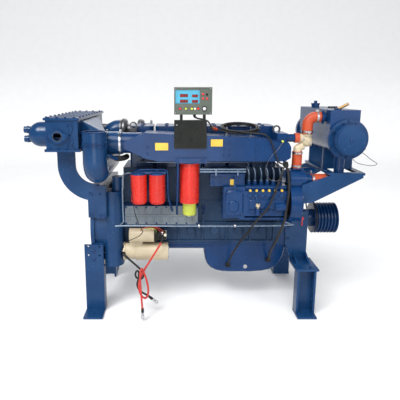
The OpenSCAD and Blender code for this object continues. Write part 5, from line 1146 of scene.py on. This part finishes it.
@dataclass
class Filters:
    """Red oil filters, ribbed fuel filter with its yellow-green bowl."""

    oil: tuple = ((297, -285.5), (403.9, -285.5))
    can_top: float = 368
    fuel: Pair = (593.2, -273.5)
    fuel_rings: tuple = (214, 226, 380, 398)
    head_bolt_x: Pair = (-72, 72)
    head_bolt: Pair = (-344, 437)
    pipe_radius: float = 6
    bowl: tuple = ((99, 12), (100, 20), (102, 33), (106, 38), (112, 39.4), (180, 39.4), (186, 42), (194, 42))
    pipes: tuple = (
        ((300, -285, 374), (380, -287, 376), (450, -287, 374), (464, -288, 356), (466, -286, 300), (468, -278, 220),
         (480, -260, 160), (490, -240, 122), (491, -228, 112)),
        ((526, -334, 432), (525, -330, 400), (524, -318, 330), (522, -300, 230), (520, -270, 150), (520, -240, 100),
         (520, -226, 92)))

    def build(self) -> None:
        """Dress the filters and their heads."""
        cans = Piece("oil_filter_seams", RED)
        seals = Piece("oil_filter_seals", BLACK)
        for x, y in self.oil:
            cans.ring(46.4, 2.4, 5, (x, y, 340), Z).ring(46.2, 2.4, 4, (x, y, 190), Z)
            seals.ring(44, 3, 5, (x, y, 348), Z)
        cans.make()
        seals.make()
        x, y = self.fuel
        shell = Piece("fuel_filter_rings", RED)
        for z in self.fuel_rings:
            shell.ring(56.4, 2.2, 5, (x, y, z), Z)
        shell.make()
        Piece("fuel_filter_bowl", B_GREEN).lathe(self.bowl, (x, y, 0), Z, 56).make()
        Piece("fuel_filter_drain", B_CREAM).lathe([(91, 6), (92, 10), (99, 10), (100, 8)], (x, y, 0), Z, 24).make()
        pipes = Piece("filter_pipes", PAINT)
        for route in self.pipes:
            pipes.pipe(route, 6, self.pipe_radius, 18)
        pipes.make()
        bolts = Piece("filter_head_bolts", PAINT)
        bolts.bolts([(x + a, *self.head_bolt) for a in self.head_bolt_x], NEAR, 8, 8)
        bolts.bolts([(fx, fy, self.can_top) for fx, fy in self.oil], Z, 9, 7).make()


@dataclass
class InjectionPump:
    """Injection pump: union nuts, yellow cap nuts, bolts and thin feed tubes."""

    first: float = 941.5
    pitch: float = 36.4
    front: float = -331.0
    line_y: float = -270
    union: tuple = ((284, 11), (296, 11), (298, 9.4))
    union_top: tuple = ((300, 8.6), (312, 8.6), (315, 6))
    cap_nut: tuple = ((0, 8), (3, 8), (4, 6.8), (9, 6.2), (11, 3))
    foot_bolts: tuple = (948, 1040, 1086, 1132)
    castings: tuple = (
        ((104, 152, 34), (850, -331, 190), 13, 6), ((58, 66, 26), (846, -343, 172), 9, 4),
        ((206, 54, 12), (1040, -331, 180), 7, 2.5))
    bend: tuple = ((0, -270, 306), (-1, -282, 330), (-4, -294, 356), (-9, -296, 376), (-14, -282, 392),
                   (-16, -250, 400), (-16, -215, 402))
    feed: tuple = ((972, -342, 243), (970, -352, 240), (976, -357, 220), (984, -357, 200), (990, -350, 186))

    def build(self) -> None:
        """Dress the pump and its governor."""
        xs = self.first + self.pitch * np.arange(6)
        nuts = Piece("pump_union_nuts", PIPE)
        caps = Piece("pump_cap_nuts", PLATE)
        for x in xs:
            nuts.lathe(self.union, (x, self.line_y, 0), Z, 6)
            nuts.lathe(self.union_top, (x, self.line_y, 0), Z, 6)
            caps.lathe(self.cap_nut, (x, self.front - 1, 262), NEAR, 20)
        nuts.make()
        caps.make()
        bolts = Piece("pump_bolts", PAINT)
        bolts.bolts([(x, -338, 160) for x in self.foot_bolts], NEAR, 5, 4)
        bolts.bolts([(x, -301, z) for x in (730, 770) for z in (300, 335)], NEAR, 6, 5).make()
        y = self.front
        body = Piece("pump_castings", PAINT)
        for size, at, thick, edge in self.castings:
            body.plate(size, at, X, Z, thick, edge)
        for x in xs:
            body.lathe([(-2, 15), (4, 15), (7, 12), (8, 6)], (x, y - 1, 232), NEAR, 28)
            body.lathe([(-1, 9), (10, 9), (12, 6)], (x, y - 1, 139), NEAR, 6)
        body.lathe([(-4, 24), (0, 27), (52, 27), (58, 22), (62, 10)], (1092, y - 3, 166), X, 36)
        body.bolts([(850 + 42 * a, y - 12, 190 + 62 * b) for a in (-1, 1) for b in (-1, 1)], NEAR, 6, 5).make()
        bends = Piece("pump_pipe_bends", PIPE)
        for x in xs:
            bends.pipe(np.array(self.bend) + (x, 0, 0), 5, 4.2, 14)
        bends.make()
        Piece("pump_rail", PAINT).plate((234, 10, 4), (1034, y, 281), X, Z, 5, 1.5).make()
        Piece("pump_feed_tube", PALE).pipe(self.feed, 6, 4, 16).make()
        Piece("pump_feed_plug", B_CREAM).lathe([(0, 8), (14, 8), (16, 6)], (990, y - 2, 182), NEAR, 24).make()


@dataclass
class Starter:
    """Starter motor: bands, solenoid end, terminals and thin wires."""

    motor: Pair = (-203.5, -156.1)
    solenoid: Pair = (-225.9, -44.1)
    bands: Pair = (272, 404)
    solenoid_band: float = 236
    stud_face: float = 465
    stud_circle: float = 38
    stud_turns: tuple = ((1, 0), (-0.5, 0.87), (-0.5, -0.87))
    terminal: Point = (448, -240, -34)
    end: tuple = ((379, 30), (381, 36), (396, 36), (400, 31), (452, 29.4), (455.5, 24))
    wires: tuple = (
        ("solenoid_wire", CABLE_RED, 2, (
            (425, -244, -20), (424, -262, -14), (412, -272, 4), (392, -270, 16), (372, -256, 8), (358, -246, -2))),
        ("solenoid_wire_green", B_GREEN, 1.8, (
            (392, -250, -18), (394, -264, -4), (386, -280, 12), (366, -284, 20), (346, -272, 14), (338, -258, 0),
            (340, -252, -8))),
        ("solenoid_wire_orange", ORANGE, 1.8, (
            (436, -246, -24), (438, -262, -10), (424, -276, 10), (396, -284, 26), (360, -282, 28), (322, -268, 16),
            (302, -256, 2), (300, -250, -6))))
    sensor: tuple = (
        (243, -312, 340), (245, -330, 330), (254, -336, 280), (263, -338, 222), (270, -336, 160), (282, -330, 100),
        (298, -322, 51), (312, -308, 18), (316, -300, 2), (304, -296, -16), (286, -296, -30), (250, -292, -48),
        (217, -284, -66), (199, -274, -90), (195, -264, -112))

    def build(self) -> None:
        """Dress the motor."""
        y, z = self.motor
        sy, sz = self.solenoid
        bands = Piece("starter_bands", CREAM)
        for x in self.bands:
            bands.ring(56.4, 3, 6, (x, y, z), X)
        bands.ring(43.4, 3, 5, (self.solenoid_band, sy, sz), X).make()
        Piece("solenoid_end", BLACK).lathe(self.end, (0, sy, sz), X).make()
        studs = Piece("starter_studs", STEEL)
        r = self.stud_circle
        studs.bolts([(self.stud_face, y + r * c, z + r * s) for c, s in self.stud_turns], X, 6, 5)
        studs.bolts([(430, sy - 20, sz + 20)], (0, -0.7, 0.7), 6, 9).make()
        Piece("starter_terminal", B_CREAM).lathe([(0, 9), (16, 9), (18, 7)], self.terminal, NEAR, 24).make()
        for name, finish, radius, route in self.wires:
            free_cord(name, finish, eased(route, 5), radius)
        free_cord("sensor_wire", RUBBER, eased(self.sensor, 4), 2.2)


@dataclass
class CoolantCircuit:
    """Thermostat joint, its bolts, hose clamp screws and pump bolts at the pulley end."""

    thermostat: Point = (1263.7, -284.4, 544.2)
    pump: Point = (1264.3, -280.8, 316.7)
    pump_circle: float = 42
    pump_turns: tuple = ((0.9, 0.4), (0, 1), (-0.9, 0.4), (-0.7, -0.7), (0.7, -0.7))
    clamps: tuple = (((1214, -316, 476), NEAR), ((1214, -316, 396), NEAR), ((1263.7, -317, 590), NEAR),
                     ((1306, -270, 354), Z), ((1395, -270, 354), Z))

    def build(self) -> None:
        """Dress the coolant parts."""
        t = self.thermostat
        Piece("thermostat_joint", CREAM).ring(34.6, 4, 7, t, (0.7, 0, 0.7)).make()
        screws = Piece("thermostat_bolts", STEEL)
        screws.bolts([(t[0] - 24, t[1] - 24, t[2] + 12), (t[0] + 16, t[1] - 30, t[2] - 10)], NEAR, 5, 5)
        for at, axis in self.clamps:
            screws.lathe([(0, 3), (8, 3), (8.5, 5), (13, 5), (14, 4)], at, axis, 24)
        screws.make()
        pump = Piece("coolant_pump_bolts", DARK)
        x, y, z = self.pump
        r = self.pump_circle
        pump.bolts([(x, y + r * c, z + r * s) for c, s in self.pump_turns], X, 5, 5).make()


@dataclass
class Exchanger:
    """Heat exchanger across the pulley end, its caps, header tank, and vent pipe with a black plug of painted shade in
    its bore.
    """

    axis: Pair = (1461.7, 563.2)
    flange_face: float = -385.5
    bolt_circle: float = 99
    cap_face: float = -432
    tank_bar: Point = (1494, -30, 722.5)
    vent: Point = (1424, -295.6, 723)
    vent_lean_deg: float = 62.0
    sleeve: tuple = ((4, 8.2), (6, 9.4), (12, 9.4), (13, 8.1), (65.5, 8.1), (66, 7.4))
    loop: tuple = (
        (1540, -386, 490), (1552, -396, 484), (1578, -404, 462), (1604, -406, 444), (1622, -404, 432),
        (1612, -402, 422), (1590, -400, 420), (1557, -398, 424), (1522, -396, 432), (1500, -394, 446),
        (1492, -386, 460))

    def build(self) -> None:
        """Dress the exchanger and the tank."""
        x, z = self.axis
        bolts = Piece("exchanger_bolts", PAINT)
        bolts.bolts(around((x, self.flange_face, z), self.bolt_circle, np.arange(22.5, 360, 45), NEAR), NEAR, 6.5, 6)
        bolts.bolts([(x, self.cap_face, z)], NEAR, 8, 7).make()
        Piece("exchanger_cap_rings", PAINT).ring(86, 4, 6, (x, -420, z), Y).ring(110.5, 3, 4, (x, -378, z), Y).make()
        Piece("tank_bar", BLACK).plate((59, 14, 3), self.tank_bar, X, Y, 9, 1.5).make()
        lean = np.radians(self.vent_lean_deg)
        way = (np.sin(lean), 0, np.cos(lean))
        vx, vy, vz = self.vent
        pipe = Piece("vent_pipe_sleeve", BRASS).plate((44, 26, 12), (vx + 2, vy, vz), X, Y, 4, 1)
        pipe.lathe(self.sleeve, self.vent, way, 32).make()
        # A black plug in the mouth of the vent pipe stands in for its open bore: painted shade.
        Piece("vent_pipe_bore_shade", BLACK).lathe([(60, 5.2), (66.4, 5.2)], self.vent, way, 24).make()
        free_cord("cap_wire", RUBBER, eased(self.loop, 4), 1.6)


@dataclass
class HousingAndLegs:
    """Bolts of the housing, legs and supports, a black disc of painted shade in the sensor hole, and the round cover's
    rim.
    """

    rows: tuple = (
        (((15.7, -275, 228), (15.7, -275, 99)), NEAR, 9, 8),
        (((67, -287, 228), (65.4, -287, 99), (92, -287, 99)), NEAR, 8, 8),
        (((14, -275, -128), (14, -275, -180)), NEAR, 10, 9),
        (((14, 275, -128), (14, 275, -180)), Y, 10, 9),
        (((1220, -158.3, 40), (1220, -158.3, -20), (1220, -158.3, -90)), NEAR, 8, 7),
        (((1262, -300, -222), (1325, -300, -222), (1262, -200, -222), (1325, -200, -222)), Z, 8, 7))
    hole: Point = (14, -263, 43)
    cover: Point = (157.7, -198.4, 238)
    cover_radius: float = 34

    def build(self) -> None:
        """Dress the left end and the stands."""
        bolts = Piece("stand_bolts", PAINT)
        for heads, axis, r, high in self.rows:
            bolts.bolts(heads, axis, r, high)
        bolts.make()
        # A thin black disc stands in for the sensor hole: painted shade.
        Piece("sensor_hole_shade", BLACK).lathe([(0, 9), (1.4, 9), (1.5, 3)], self.hole, NEAR, 32).make()
        Piece("housing_cover_rim", PAINT).ring(self.cover_radius, 5, 8, self.cover, Z).make()


@dataclass
class PulleyEnd:
    """Crank pulley end and the timing case: bolts that turn with the shaft, and case bolts."""

    hub: Point = (1560.3, 0, 0)
    hub_circle: float = 46
    case: Point = (1236, -270, 182.7)
    case_circle: float = 106
    case_arc: tuple = (100, 260, 26)

    def build(self) -> None:
        """Dress the pulley end."""
        hub = Piece("pulley_bolts", STEEL, "crank")
        hub.bolts(around(self.hub, self.hub_circle, np.arange(0, 360, 60), X), X, 8, 7).make()
        case = Piece("timing_case_bolts", DARK)
        case.bolts(around(self.case, self.case_circle, np.arange(*self.case_arc), X), X, 6, 5).make()


@dataclass
class ExhaustSide:
    """Far side, guessed: port flanges with their nuts on the exhaust manifold."""

    flange: Point = (84, 62, 14)
    face: float = 147
    height: float = 424
    nut: float = 34

    def build(self) -> None:
        """Dress the exhaust manifold."""
        flanges = Piece("exhaust_flanges", PAINT)
        nuts = Piece("exhaust_nuts", STEEL)
        for x in CYLINDERS:
            flanges.plate(self.flange, (x, self.face, self.height), X, Z, 11, 1.5)
            nuts.bolts([(x + s * self.nut, self.face, self.height) for s in (-1, 1)], Y, 7, 7)
        flanges.make()
        nuts.make()


def dress_nodes(nodes: dict[str, Thing]) -> None:
    """Give every frame node the finish of its slot.

    Args:
        nodes: The frame's node objects by name.
    """
    for name, node in nodes.items():
        for place in node.material_slots:
            slot = place.material.name.split(".")[0]
            place.material = NODE_FINISHES.get(name, SLOT_FINISHES[slot]).material()


def main() -> None:
    """Build the scene around the frame, part by part."""
    logging.basicConfig(level=logging.INFO, format="%(message)s")
    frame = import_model()
    Studio().build()
    dress_nodes(frame["nodes"])
    parts = (BatteryCables(), InstrumentCable(), Loom(), CoolingUnit(), AirPath(), Block(), Pan(), Heads(), Manifold(),
             Panel(), Filters(), InjectionPump(), Starter(), CoolantCircuit(), Exchanger(), HousingAndLegs(),
             PulleyEnd(), ExhaustSide())
    for part in parts:
        part.build()
        log.info("built %s", type(part).__name__)


if __name__ == "__main__":
    main()
